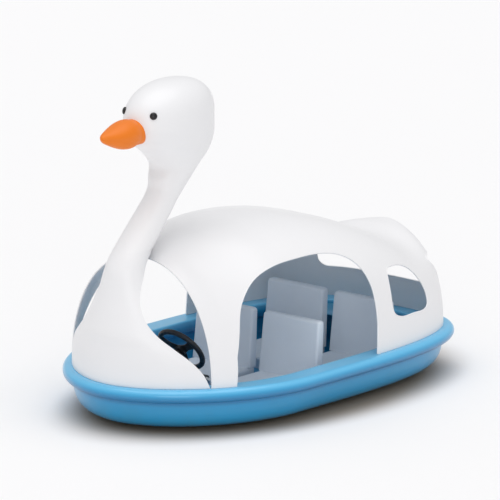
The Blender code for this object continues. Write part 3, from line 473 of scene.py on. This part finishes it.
def even_angles(count):
    """Angles that step evenly along the outline, the same on both sides."""
    dense = 6000
    eased = [0.5 - 0.5 * math.cos(math.pi * i / dense) for i in range(dense + 1)]
    angles = [-0.5 * math.pi + math.pi * t for t in eased]
    points = [Vector(outline_point(a)) for a in angles]
    run = [0.0]
    for a, b in zip(points, points[1:]):
        run.append(run[-1] + (b - a).length)
    half = []
    j = 0
    for i in range(count // 2 + 1):
        target = run[-1] * i / (count // 2)
        while run[j + 1] < target and j < dense - 1:
            j += 1
        t = (target - run[j]) / (run[j + 1] - run[j])
        half.append(angles[j] + (angles[j + 1] - angles[j]) * t)
    return half + [math.pi - a for a in reversed(half[1:-1])]


ANGLES = even_angles(208)


def outline(inset, z):
    """Level loop round the boat, inset from the hull's top edge."""
    return [Vector((*outline_point(a, inset), z)) for a in ANGLES]


def beam_at(y):
    """Half width of the hull's top edge at a place along the boat."""
    aft = y >= MAX_BEAM_Y
    length = STERN_LENGTH if aft else BOW_LENGTH
    power = STERN_POWER if aft else BOW_POWER
    t = min(abs(y - MAX_BEAM_Y) / length, 1.0)
    return HALF_BEAM * (1.0 - t ** power) ** (1.0 / power)


def section_loft(section):
    """Solid under a smooth (inset, height) section that is carried round the outline."""
    fine = spline([(a, b, 0.0) for a, b in section], 5)
    return loft([outline(max(p.x, 0.0), p.y) for p in fine])


# ------------------------------------------------------------ hull, liner and rim
COVER_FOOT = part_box("paddle_cover")[0].z
CRANK_LOW, CRANK_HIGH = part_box("crankshaft")
CRANK = 0.5 * (CRANK_LOW + CRANK_HIGH)
WELL_X, WELL_Y, WALL = 0.106, 0.188, 0.012
TUNNEL_X, TUNNEL_Y, TUNNEL_TOP = 0.115, 1.02, 0.140
TUBE_Y, TUBE_HOLE = 1.19, 0.0185


def build_hull():
    """Outer skin with the paddle well, the rudder tunnel and the hole for the rudder tube."""
    low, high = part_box("hull_shell")
    section = [(0.0, high.z), (0.003, 0.205), (0.008, 0.175), (0.020, 0.125), (0.040, 0.085), (0.075, 0.053),
               (0.125, 0.033), (0.185, low.z + 0.0012), (0.26, low.z), (0.45, low.z)]
    hull = make("hull_skin", section_loft(section), "hull_blue", "hull_shell", angle=40.0)
    inside = [(0.012, 0.30), (0.012, 0.22), (0.0205, 0.176), (0.0325, 0.129), (0.051, 0.0925),
              (0.084, 0.063), (0.131, 0.0445), (0.188, 0.0375), (0.26, 0.037), (0.45, 0.037)]
    cavity = tool(section_loft(inside))
    wx, wy = WELL_X + WALL, WELL_Y + WALL
    trunk = tool(block(-wx, wx, CRANK.y - wy, CRANK.y + wy, 0.0, COVER_FOOT - GAP))
    tunnel = tool(block(-TUNNEL_X - WALL, TUNNEL_X + WALL, TUNNEL_Y - WALL, 1.6, 0.0, TUNNEL_TOP + WALL))
    cut(cavity, [trunk, tunnel])
    cut(hull, [cavity])
    well = tool(block(-WELL_X, WELL_X, CRANK.y - WELL_Y, CRANK.y + WELL_Y, -0.05, 0.25))
    aft = tool(block(-TUNNEL_X, TUNNEL_X, TUNNEL_Y, 1.7, -0.05, TUNNEL_TOP))
    hole = tool(turned([(TUBE_HOLE, 0.10), (TUBE_HOLE, 0.20)], (0.0, TUBE_Y, 0.0), (0, 0, 1), 32))
    cut(hull, [well, aft, hole])


def build_liner():
    """Cockpit moulding inside the hull, cut clear of the paddle well and the rudder tunnel."""
    section_out = [(0.0405, RIM_BOTTOM - GAP), (0.0405, 0.171), (0.044, 0.131), (0.060, 0.096),
                   (0.092, 0.068), (0.136, 0.0495), (0.190, 0.0400), (0.26, 0.0395), (0.45, 0.0395)]
    section_in = [(0.0465, 0.34), (0.0465, 0.173), (0.050, 0.134), (0.065, 0.101), (0.096, 0.074),
                  (0.139, 0.0555), (0.192, 0.0460), (0.26, 0.0455), (0.45, 0.0455)]
    liner = make("cockpit_skin", section_loft(section_out), "hull_blue", "cockpit_liner", angle=40.0)
    clear = 0.0015
    wx, wy = WELL_X + WALL + clear, WELL_Y + WALL + clear
    well = tool(block(-wx, wx, CRANK.y - wy, CRANK.y + wy, 0.0, 0.2))
    tunnel = tool(block(-TUNNEL_X - WALL - clear, TUNNEL_X + WALL + clear, TUNNEL_Y - WALL - clear, 1.7, 0.0,
                        TUNNEL_TOP + WALL + clear))
    cut(liner, [tool(section_loft(section_in)), well, tunnel])


def build_rim():
    """Bumper moulding: a half-round roll outside, a flat side deck and a rounded inner edge."""
    middle = 0.5 * (RIM_TOP + RIM_BOTTOM)
    r = 0.5 * (RIM_TOP - RIM_BOTTOM)
    section = [(r - RIM_OUT - r * math.sin(math.pi * i / 20), middle + r * math.cos(math.pi * i / 20))
               for i in range(21)]
    section += [(0.004, RIM_BOTTOM + 0.0008), (0.030, RIM_BOTTOM), (0.100, RIM_BOTTOM)]
    edge = 0.014
    for turn, z in ((-0.5, RIM_BOTTOM + edge), (0.0, RIM_TOP - edge)):
        for i in range(7):
            a = math.pi * (turn + 0.5 * i / 6)
            section.append((RIM_IN - edge + edge * math.cos(a), z + edge * math.sin(a)))
    section += [(0.080, RIM_TOP - 0.0004), (0.055, RIM_TOP - 0.0012), (0.012, RIM_TOP - 0.0004)]
    loops = [outline(inset, z) for inset, z in section]
    make("bumper_moulding", loft(loops, cyclic=True), "hull_blue", "bumper_rim", angle=50.0)


# ------------------------------------------------------------ swan
# height above the foot, place along the boat, half width and half length of each level section
SWAN = [
    (0.000, MAX_BEAM_Y, HALF_BEAM, BOW_LENGTH), (0.100, -0.570, 0.745, 0.850), (0.180, -0.735, 0.650, 0.690),
    (0.262, -0.880, 0.545, 0.550), (0.337, -0.990, 0.435, 0.450), (0.440, -1.085, 0.330, 0.335),
    (0.548, -1.160, 0.240, 0.235), (0.620, -1.195, 0.190, 0.185), (0.730, -1.215, 0.145, 0.145),
    (0.800, -1.190, 0.132, 0.132), (0.856, -1.150, 0.126, 0.126), (0.956, -1.055, 0.122, 0.122),
    (1.077, -0.940, 0.116, 0.116), (1.140, -0.880, 0.113, 0.113), (1.206, -0.825, 0.120, 0.122),
    (1.268, -0.790, 0.137, 0.145), (1.350, -0.748, 0.166, 0.162), (1.430, -0.738, 0.200, 0.237),
    (1.520, -0.768, 0.228, 0.318), (1.620, -0.800, 0.238, 0.360), (1.720, -0.795, 0.232, 0.348),
    (1.800, -0.785, 0.206, 0.300), (1.860, -0.775, 0.162, 0.230), (1.910, -0.768, 0.045, 0.062)]
# height and place along the boat of the moulding's open rear edge, below the neck
CHEST_EDGE = [(0.000, -1.076), (0.090, -1.108), (0.170, -1.158), (0.260, -1.232), (0.345, -1.288),
              (0.440, -1.314), (0.540, -1.306), (0.630, -1.270), (0.730, -1.205), (0.815, -1.130),
              (0.870, -1.000)]
DOME_START, DOME_TOP, DOME_POWER = 1.66, 1.9125, 2.3


def swan_section(height):
    """Middle, half width and half length of the swan at a height above its foot."""
    middle, width, length = (lookup([(row[0], row[k]) for row in SWAN], height) for k in (1, 2, 3))
    if height > DOME_START:
        t = (height - DOME_START) / (DOME_TOP - DOME_START)
        shrink = max(1.0 - t ** DOME_POWER, 0.0) ** (1.0 / DOME_POWER)
        at = swan_section(DOME_START)
        width, length = at[1] * shrink, at[2] * shrink
    return middle, width, length


def swan_power(height):
    """The sections change from the hull's plan at the foot to plain ellipses above 0.25 m."""
    return 2.0 / (2.0 + (BOW_POWER - 2.0) * max(0.0, 1.0 - height / 0.25))


def swan_point(height, angle):
    middle, width, length = swan_section(height)
    power = swan_power(height)
    return Vector((width * signed_power(math.cos(angle), power),
                   middle + length * signed_power(math.sin(angle), power), FOOT_Z + height))


def swan_row(height, columns):
    """Points round the bow from the chest's port edge to its starboard edge, or all the way round."""
    middle, width, length = swan_section(height)
    start = 0.5 * math.pi
    if height < CHEST_EDGE[-1][0]:
        reach = (lookup(CHEST_EDGE, height) - middle) / length
        if reach < 1.0:
            start = math.asin(signed_power(reach, 1.0 / swan_power(height)))
    sweep = math.pi + 2.0 * start
    return [swan_point(height, start - sweep * i / columns) for i in range(columns + 1)]


def build_swan():
    """Breast, neck and head as one moulding, open at the back below the neck."""
    columns = 96
    heights = [DOME_START * i / 150 for i in range(150)]
    heights += [DOME_START + (DOME_TOP - DOME_START) * math.sin(0.5 * math.pi * i / 28) for i in range(28)]
    bm = sheet([swan_row(h, columns) for h in heights])
    bm.verts.ensure_lookup_table()
    top = bm.verts.new(Vector((0.0, swan_section(DOME_TOP)[0], FOOT_Z + DOME_TOP)))
    ring = list(bm.verts)[-(columns + 2):-1]
    for a, b in zip(ring, ring[1:]):
        bm.faces.new((a, b, top))
    bmesh.ops.remove_doubles(bm, verts=bm.verts, dist=0.0002)
    swan = make("swan_moulding", bm, "swan_white", "swan_body", ("swan_head",), angle=60.0)
    shell = swan.modifiers.new("shell", "SOLIDIFY")
    shell.thickness = SHELL
    shell.offset = -1.0
    settle(swan, 60.0)
    round_edges(swan, 0.0028, 3, 60.0)


# distance ahead of the root, half width, half height and drop of each section
BEAK = [(0.00, 0.090, 0.086, 0.000), (0.05, 0.104, 0.096, 0.000), (0.11, 0.104, 0.090, 0.001),
        (0.17, 0.088, 0.071, 0.001), (0.225, 0.063, 0.050, -0.002), (0.270, 0.037, 0.032, -0.006),
        (0.295, 0.012, 0.012, -0.010)]
BEAK_ROOT = Vector((0.0, -1.165, FOOT_Z + 1.622))


def build_beak():
    """Rounded bill with a shallow mouth line; it starts inside the head."""
    sides, steps, buried = 64, 34, 6
    groove_depth, groove_level, groove_width = 0.0030, -0.16, 0.055
    end, _, _, end_drop = BEAK[-1]
    loops = []
    for k in range(-buried, steps + 1):
        ahead = end * (math.sin(0.5 * math.pi * k / steps) if k > 0 else 0.05 * k)
        w, h, drop = (lookup([(row[0], row[j]) for row in BEAK], max(ahead, 0.0)) for j in (1, 2, 3))
        depth = groove_depth * min(1.0, max(0.0, (ahead + 0.02) / 0.05))
        loop = []
        for c, s in circle(sides):
            groove = depth * math.exp(-((s - groove_level) / groove_width) ** 2)
            loop.append(BEAK_ROOT + Vector(((w - groove) * c, -ahead, h * s - drop)))
        loops.append(loop)
    tip = BEAK_ROOT + Vector((0.0, -end - 0.004, -end_drop))
    bm = loft(loops, cap_end=False)
    bm.verts.ensure_lookup_table()
    ring = list(bm.verts)[-sides:]
    point = bm.verts.new(tip)
    for i in range(sides):
        bm.faces.new((ring[i], ring[(i + 1) % sides], point))
    make("bill", bm, "beak_orange", "beak", angle=70.0)


def build_eyes():
    """Domed eyes, square to the head and tipped up a little."""
    r, foot, rise, steps = 0.0245, 0.002, 0.014, 12
    profile = [(r, -0.012), (r, foot)]
    for i in range(1, steps):
        a = 0.5 * math.pi * i / steps
        profile.append((r * math.cos(a), foot + rise * math.sin(a)))
    profile.append((0.0004, foot + rise))
    for side, sign in SIDES:
        low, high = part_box("eye_" + side)
        centre = 0.5 * (low + high)
        middle, width, length = swan_section(centre.z - FOOT_Z)
        x = abs(centre.x) * 0.985
        y = middle - length * math.sqrt(max(1.0 - (x / width) ** 2, 0.0))
        normal = Vector((x / width ** 2, (y - middle) / length ** 2, 0.0)).normalized()
        normal = (normal + Vector((0.0, 0.0, 0.28))).normalized()
        normal.x *= sign
        place = Vector((x * sign, y, centre.z))
        make("eye_dome_" + side, turned(profile, place, normal, 48), "eye_black", "eye_" + side, angle=60.0)


# ------------------------------------------------------------ canopy
CANOPY_FRONT = -1.065
# place along the boat with the roof's height above its foot, and with its section's superellipse power
ROOF_LINE = [(-1.065, 0.785), (-0.95, 0.828), (-0.80, 0.872), (-0.60, 0.898), (-0.42, 0.907), (-0.17, 0.905),
             (0.20, 0.862), (0.52, 0.783), (0.79, 0.676), (0.95, 0.602), (1.07, 0.568), (1.16, 0.564),
             (1.28, 0.581), (1.42, 0.588)]
ROOF_POWER = [(-1.065, 2.15), (-0.90, 1.80), (-0.72, 1.80), (-0.45, 2.2), (0.0, 2.6), (0.70, 2.8),
              (1.10, 2.7), (1.42, 2.5)]
STERN_LEAN = 0.03
# openings in the sides, as (place along the boat, height above the foot)
DOOR = [(-0.935, 0.00), (-0.903, 0.20), (-0.815, 0.42), (-0.730, 0.535), (-0.595, 0.640), (-0.430, 0.695),
        (-0.200, 0.712), (0.000, 0.705), (0.170, 0.665), (0.280, 0.580), (0.330, 0.440), (0.335, 0.20),
        (0.325, 0.00)]
QUARTER = [(0.505, 0.35), (0.515, 0.24), (0.60, 0.195), (0.74, 0.19), (0.88, 0.185), (0.935, 0.225),
           (0.925, 0.33), (0.86, 0.43), (0.76, 0.49), (0.64, 0.515), (0.54, 0.50)]
# half width of the stern window, and its heights above the foot
STERN_X, STERN_Z = 0.52, (0.195, 0.440)
CANOPY_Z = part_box("canopy")[0].z


def lean_at(y):
    """How far the roof leans forward for each metre of height, near the stern."""
    return STERN_LEAN * min(max((y - 0.80) / 0.55, 0.0), 1.0) ** 1.5


def canopy_arch(y, count):
    """Outer section of the canopy from port to starboard, with points closer where it bends most."""
    half, top = beam_at(y), lookup(ROOF_LINE, y)
    power = 2.0 / lookup(ROOF_POWER, y)
    points = []
    for i in range(count + 1):
        t = i / count
        a = math.pi * (t - 0.07 * math.sin(4 * math.pi * t) / math.pi)
        z = top * max(math.sin(a), 0.0) ** power if 0 < i < count else 0.0
        points.append(Vector((half * signed_power(math.cos(a), power), y - lean_at(y) * z, CANOPY_Z + z)))
    return points


def canopy_half(y, z):
    """Half width of the canopy's outside at a place along the boat and a height above its foot."""
    top, power = lookup(ROOF_LINE, y), lookup(ROOF_POWER, y)
    return beam_at(y) * max(1.0 - min(z / top, 1.0) ** power, 0.0) ** (1.0 / power)


def canopy_stern(x, z):
    """Place along the boat of the canopy's outside near the stern, by halving the interval."""
    low, high, halvings = 0.9, MAX_BEAM_Y + STERN_LENGTH, 40
    for _ in range(halvings):
        mid = 0.5 * (low + high)
        if canopy_half(mid, z) > abs(x):
            low = mid
        else:
            high = mid
    return low - lean_at(low) * z


def build_canopy():
    """Thin roof shell with its doors, quarter windows and stern window cut out."""
    corner = 0.85
    even = [CANOPY_FRONT + (corner - CANOPY_FRONT) * i / 64 for i in range(64)]
    aft = [p[1] for p in (outline_point(a) for a in ANGLES[:len(ANGLES) // 2 + 1]) if p[1] > corner]
    end = MAX_BEAM_Y + STERN_LENGTH
    aft = [y for y in aft if y < end - 0.00002] + [end]
    bm = sheet([canopy_arch(y, 96) for y in even + aft])
    bmesh.ops.remove_doubles(bm, verts=bm.verts, dist=0.0002)
    bmesh.ops.dissolve_degenerate(bm, edges=bm.edges, dist=0.0002)
    canopy = make("canopy_moulding", bm, "swan_white", "canopy", angle=50.0)
    shell = canopy.modifiers.new("shell", "SOLIDIFY")
    shell.thickness = SHELL
    shell.offset = -1.0
    settle(canopy)
    arch = [(p.x, CANOPY_Z + p.y) for p in spline([(a, b, 0.0) for a, b in DOOR[1:-1]], 8)]
    door = [(DOOR[0][0] - 0.002, CANOPY_Z - 0.1), *arch, (DOOR[-1][0], CANOPY_Z - 0.1)]
    window = [(p.x, CANOPY_Z + p.y) for p in spline([(a, b, 0.0) for a, b in QUARTER], 8, True)]
    stern_half = 0.5 * (STERN_Z[1] - STERN_Z[0])
    stern = rounded_rect(0.0, CANOPY_Z + 0.5 * sum(STERN_Z), STERN_X, stern_half, 0.06, 10)
    cut(canopy, [tool(prism(door, "X", -1.1, 1.1)), tool(prism(window, "X", -1.1, 1.1)),
                 tool(prism(stern, "Y", 1.02, 1.7))])
    settle(canopy, 50.0)
    build_beads(arch, window, stern)


def build_beads(arch, window, stern):
    """Rolled edges of the moulding round every opening."""
    r = 0.0056
    inset = 0.5 * SHELL
    bm = bmesh.new()
    ends = [(DOOR[0][0], CANOPY_Z + 0.004)] + arch + [(DOOR[-1][0], CANOPY_Z + 0.004)]
    front = canopy_arch(CANOPY_FRONT, 96)
    fine = []
    for a, b in zip(map(Vector, stern), map(Vector, stern[1:] + stern[:1])):
        steps = 16 if (b - a).length > 0.06 else 1
        fine += [a.lerp(b, k / steps) for k in range(steps)]

    def on_side(points, sign):
        return [(sign * (canopy_half(y, z - CANOPY_Z) - inset), y, z) for y, z in points]

    for _, sign in SIDES:
        tube_mesh(on_side(ends, sign), r, bm=bm)
        tube_mesh(on_side(window, sign), r, closed=True, bm=bm)
    tube_mesh([(x, canopy_stern(x, z - CANOPY_Z) - inset, z) for x, z in fine], r, closed=True, bm=bm)
    tube_mesh([Vector((p.x * 0.994, p.y, p.z - inset * (p.z > CANOPY_Z + 0.3))) for p in front], r, bm=bm)
    beads = make("canopy_rolled_edges", bm, "swan_white", angle=60.0)
    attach(beads, BODY_OF["canopy"])


# ------------------------------------------------------------ seats
def seat_ring(x, y0, y1, half, radius, z):
    """Level ring of a seat moulding between two places along the boat."""
    corners = rounded_rect(x, 0.5 * (y0 + y1), half, 0.5 * (y1 - y0), radius, 6)
    return [Vector((px, py, z)) for px, py in corners]


def build_pan(node):
    """Moulded seat pan with soft edges and a shallow dish for the sitter."""
    low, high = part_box(node)
    x, half = 0.5 * (low.x + high.x), 0.5 * (high.x - low.x)
    y0, y1, base, top = low.y, high.y, low.z, high.z
    edge = 0.020
    rings = [seat_ring(x, y0 + 0.012, y1, half - 0.010, 0.032, base),
             seat_ring(x, y0 + 0.001, y1, half - 0.001, 0.032, top - edge - 0.004)]
    for i in range(7):
        a = 0.5 * math.pi * i / 6
        pull = edge * (1 - math.cos(a))
        rings.append(seat_ring(x, y0 + pull, y1 - pull, half - pull, 0.034, top - edge + edge * math.sin(a)))
    for inward, sink in ((0.030, 0.0005), (0.042, 0.0035), (0.055, 0.0065), (0.075, 0.0090), (0.11, 0.0105),
                         (0.16, 0.0115), (0.20, 0.0118)):
        # the dish stops short of the back rest that stands on the pan's rear
        rings.append(seat_ring(x, y0 + inward, y1 - 0.075 - 0.55 * inward, half - inward,
                               max(0.034 - 0.05 * inward, 0.012), top - sink))
    make(node + "_moulding", loft(rings), "seat_grey", node, angle=60.0)


def build_back(node):
    """Leaning back rest, thicker and wider at its foot, with a rounded top."""
    low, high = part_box(node)
    x, half = 0.5 * (low.x + high.x), 0.5 * (high.x - low.x)
    face, base, top = low.y, low.z, high.z
    lean, thick, taper_y, taper_x = 0.045, 0.062, 0.018, 0.008
    edge, steps = 0.022, 10

    def ring(z, pull):
        t = (z - base) / (top - base)
        y0 = face + lean * t + pull
        y1 = face + thick + taper_y * (1 - t) + lean * t - pull
        radius = min(0.017, 0.5 * (y1 - y0) - 0.002)
        return seat_ring(x, y0, y1, half - taper_x * t - pull, radius, z)

    rings = [ring(base + (top - edge - base) * k / steps, 0.0) for k in range(steps + 1)]
    for i in range(1, 8):
        a = 0.5 * math.pi * i / 7
        rings.append(ring(top - edge + edge * math.sin(a), edge * (1 - math.cos(a))))
    make(node + "_moulding", loft(rings), "seat_grey", node, angle=60.0)


# ------------------------------------------------------------ helm and drive
WHEEL_LOW, WHEEL_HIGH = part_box("steering_wheel")
COLUMN_TILT = math.radians(55.0)
COLUMN = Vector((0.0, math.sin(COLUMN_TILT), math.cos(COLUMN_TILT)))
WHEEL_CENTRE = Vector((0.0, -0.677, 0.400))
GRIP_R = 0.018
WHEEL_R = 0.5 * (WHEEL_HIGH.x - WHEEL_LOW.x) - GRIP_R


def build_wheel():
    """Rim with finger grips, three dished spokes and a stepped hub."""
    to_world = frame_matrix(WHEEL_CENTRE, COLUMN)
    count, grips, grip_depth = 168, 28, 0.0020
    loops = []
    for k in range(count):
        a = 2 * math.pi * k / count
        ring = []
        for c, s in circle(18):
            under = max(0.0, -s) * max(0.0, 0.4 + c)
            r = GRIP_R - grip_depth * under * (0.5 + 0.5 * math.cos(grips * a))
            reach = WHEEL_R + r * c
            ring.append(to_world @ Vector((reach * math.cos(a), reach * math.sin(a), r * s)))
        loops.append(ring)
    bm = loft(loops, cyclic=True)
    spokes, steps, thick = 3, 14, 0.0058
    for k in range(spokes):
        spoke_to_world = to_world @ Matrix.Rotation(math.pi * (0.5 + 2 * k / spokes), 4, "Z")
        rings = []
        for j in range(steps + 1):
            t = j / steps
            reach = 0.028 + (WHEEL_R - 0.030) * t
            wide = 0.033 - 0.008 * math.sin(math.pi * min(t * 1.1, 1.0)) + 0.006 * t ** 4
            level = -0.0025 - 0.004 * math.sin(math.pi * t)
            rings.append([spoke_to_world @ Vector((reach, wide * signed_power(c, 0.6),
                                                   level + thick * signed_power(s, 0.8)))
                          for c, s in circle(20)])
        loft(rings, bm=bm)
    hub = [(0.0092, -0.026), (0.036, -0.026), (0.040, -0.023), (0.040, 0.001), (0.0385, 0.0035),
           (0.034, 0.0065), (0.030, 0.0075), (0.0092, 0.0078)]
    turned(hub, WHEEL_CENTRE, COLUMN, 48, bored=True, bm=bm)
    make("helm_wheel", bm, "soft_black", "steering_wheel", angle=50.0)


def build_cap():
    """Domed cap over the hub."""
    profile = [(0.028, 0.0085), (0.0283, 0.0112), (0.0270, 0.0130), (0.0235, 0.0142), (0.0225, 0.0138),
               (0.0210, 0.0150), (0.0150, 0.0160), (0.0005, 0.0165)]
    make("helm_cap", turned(profile, WHEEL_CENTRE, COLUMN, 56), "seat_grey", "steering_cap", angle=50.0)


def build_crank():
    """Bent round bar with smooth bends, and the pins the pedals turn on."""
    throw, inner, outer, bend, steps = 0.110, 0.165, 0.405, 0.014, 7
    rider, end = 0.285, 0.5 * (CRANK_HIGH.x - CRANK_LOW.x)
    half = [(end, 0), (outer, 0), (outer, throw), (rider, throw),
            (rider, -throw), (inner, -throw), (inner, 0)]
    whole = half + [(-x, -z) for x, z in reversed(half)]
    corners = [Vector((x, CRANK.y, CRANK.z + z)) for x, z in whole]
    path = [corners[0]]
    for a, b, c in zip(corners, corners[1:], corners[2:]):
        u, v = (a - b).normalized(), (c - b).normalized()
        reach = bend / math.tan(0.5 * u.angle(v))
        centre = b + (u + v).normalized() * (bend / math.sin(0.5 * u.angle(v)))
        start, stop = (b + u * reach - centre).normalized(), (b + v * reach - centre).normalized()
        path += [centre + start.slerp(stop, i / steps) * bend for i in range(steps + 1)]
    path.append(corners[-1])
    make("crank_bar", tube_mesh(path, 0.010, 24), "stainless_steel", "crankshaft", angle=50.0)


def build_pedal(node):
    """Rubber pedal block with a bore for the crank, chamfered ends and cross treads on both faces."""
    low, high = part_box(node)
    centre = 0.5 * (low + high)
    reach = 0.5 * (high.x - low.x)
    outer = rounded_rect(0.0, 0.0, 0.033, 0.0125, 0.009, 10)
    end = [(a * 0.93, b * 0.9) for a, b in outer]
    bore, chamfer = 0.0108, 0.003
    inner = [(bore * c, bore * s) for c, s in circle(len(outer), 0.5)]
    places = ((inner, -reach), (end, -reach), (outer, -reach + chamfer),
              (outer, reach - chamfer), (end, reach), (inner, reach))
    bm = loft([[centre + Vector((x, a, b)) for a, b in ring] for ring, x in places], cyclic=True)
    treads, margin = 6, 0.010
    foot = rounded_rect(0, 0, 0.0036, 0.0270, 0.0015, 2)
    crown = rounded_rect(0, 0, 0.0026, 0.0260, 0.0012, 2)
    for face in (1.0, -1.0):
        for k in range(treads):
            x = centre.x - reach + margin + (2 * reach - 2 * margin) * k / (treads - 1)
            loft([[Vector((x + px, centre.y + py, centre.z + face * level)) for px, py in ring]
                  for ring, level in ((foot, 0.0118), (foot, 0.0138), (crown, 0.0145))], bm=bm)
    make(node + "_tread", bm, "soft_black", node, angle=40.0)


# ------------------------------------------------------------ build it all
build_hull()
build_liner()
build_rim()
build_swan()
build_beak()
build_eyes()
build_canopy()
for row in ("front", "rear"):
    for side, _ in SIDES:
        build_pan(f"seat_pan_{row}_{side}")
        build_back(f"seat_back_{row}_{side}")
build_wheel()
build_cap()
build_crank()
for side, _ in SIDES:
    for rank in ("inner", "outer"):
        build_pedal(f"pedal_{side}_{rank}")
        soften(f"bearing_stand_{side}_{rank}", 0.0012)
        soften(f"bearing_bush_{side}_{rank}", 0.0005)
    soften(f"shaft_collar_{side}", 0.0010)
    soften(f"shaft_seal_{side}", 0.0004)
    soften(f"keel_runner_{side}", 0.0030)
EDGE_RADIUS = {
    "paddle_wheel": 0.0010, "paddle_cover": 0.0050, "aft_deck": 0.0025, "helm_housing": 0.0012,
    "cable_bracket": 0.0015, "cable_clip_1": 0.0008, "cable_clip_2": 0.0008, "cable_sleeve": 0.0006,
    "rudder_blade": 0.0025, "rudder_stock": 0.0008, "rudder_tube": 0.0008, "tiller_arm": 0.0012,
    "steering_rod": 0.0006, "drain_plug": 0.0008, "steering_shaft": 0.0006,
}
for piece, edge_radius in EDGE_RADIUS.items():
    soften(piece, edge_radius)


# ------------------------------------------------------------ room, lights and camera
def soft_sun(name, towards, strength, spread):
    """Wide, even light; the spread is its width in the sky, in degrees."""
    light = bpy.data.lights.new(name, "SUN")
    light.energy = strength
    light.angle = math.radians(spread)
    sun = bpy.data.objects.new(name, light)
    sun.rotation_euler = Vector(towards).to_track_quat("-Z", "Y").to_euler()
    bpy.context.scene.collection.objects.link(sun)


def build_room():
    """White studio: wide floor with a painted shadow close round the boat, under an even sky."""
    size = 60.0
    bm = bmesh.new()
    bm.faces.new([bm.verts.new((x * size, y * size, 0)) for x, y in ((-1, -1), (1, -1), (1, 1), (-1, 1))])
    floor = make("studio_floor", bm, None)
    s = Shader("studio_floor", (0.925, 0.922, 0.925), 0.85)
    s.tint(s.spread(s.noise(0.4, 2.0), 0.3, 0.7, 0.0, 0.2), (0.915, 0.912, 0.915))
    # painted shadow: the floor is darkened in an ellipse round the boat, standing in for its contact shadow
    mapping = s.node("ShaderNodeMapping")
    mapping.inputs["Location"].default_value = (-0.07, -0.03, 0.0)
    mapping.inputs["Scale"].default_value = (1.0 / 0.86, 1.0 / 1.47, 0.0)
    s.link(s.coords, mapping.inputs["Vector"])
    length = s.node("ShaderNodeVectorMath", operation="LENGTH")
    s.link(mapping.outputs["Vector"], length.inputs[0])
    s.tint(s.spread(length.outputs["Value"], 0.86, 1.24, 0.95, 0.0), (0.38, 0.29, 0.21))
    floor.data.materials.append(s.mat)
    world = bpy.data.worlds.new("studio")
    world.use_nodes = True
    sky = world.node_tree.nodes["Background"]
    sky.inputs["Color"].default_value = (0.99, 0.99, 1.0, 1.0)
    sky.inputs["Strength"].default_value = 0.58
    bpy.context.scene.view_settings.view_transform = "Standard"
    bpy.context.scene.world = world
    soft_sun("overhead", (-0.05, 0.05, -1.0), 1.42, 62.0)
    soft_sun("front_fill", (-0.62, 0.74, -0.26), 0.42, 30.0)


def build_camera():
    """Long lens from off the port bow, a little above the boat."""
    turn, tilt = math.radians(40.56), math.radians(13.72)
    right = Vector((math.cos(turn), math.sin(turn), 0.0))
    back = Vector((math.sin(turn) * math.cos(tilt), -math.cos(turn) * math.cos(tilt), math.sin(tilt)))
    up = back.cross(right)
    aim = Vector((0.0, 0.0, 0.31)) + right * 0.0052 + up * 0.6098
    distance = 117.24
    data = bpy.data.cameras.new("camera")
    data.sensor_width = 36.0
    data.lens = 1296.0
    data.clip_start = 1.0
    data.clip_end = 400.0
    camera = bpy.data.objects.new("camera", data)
    facing = Matrix((right, up, back)).transposed().to_4x4()
    camera.matrix_world = Matrix.Translation(aim + back * distance) @ facing
    bpy.context.scene.collection.objects.link(camera)
    bpy.context.scene.camera = camera


build_room()
build_camera()
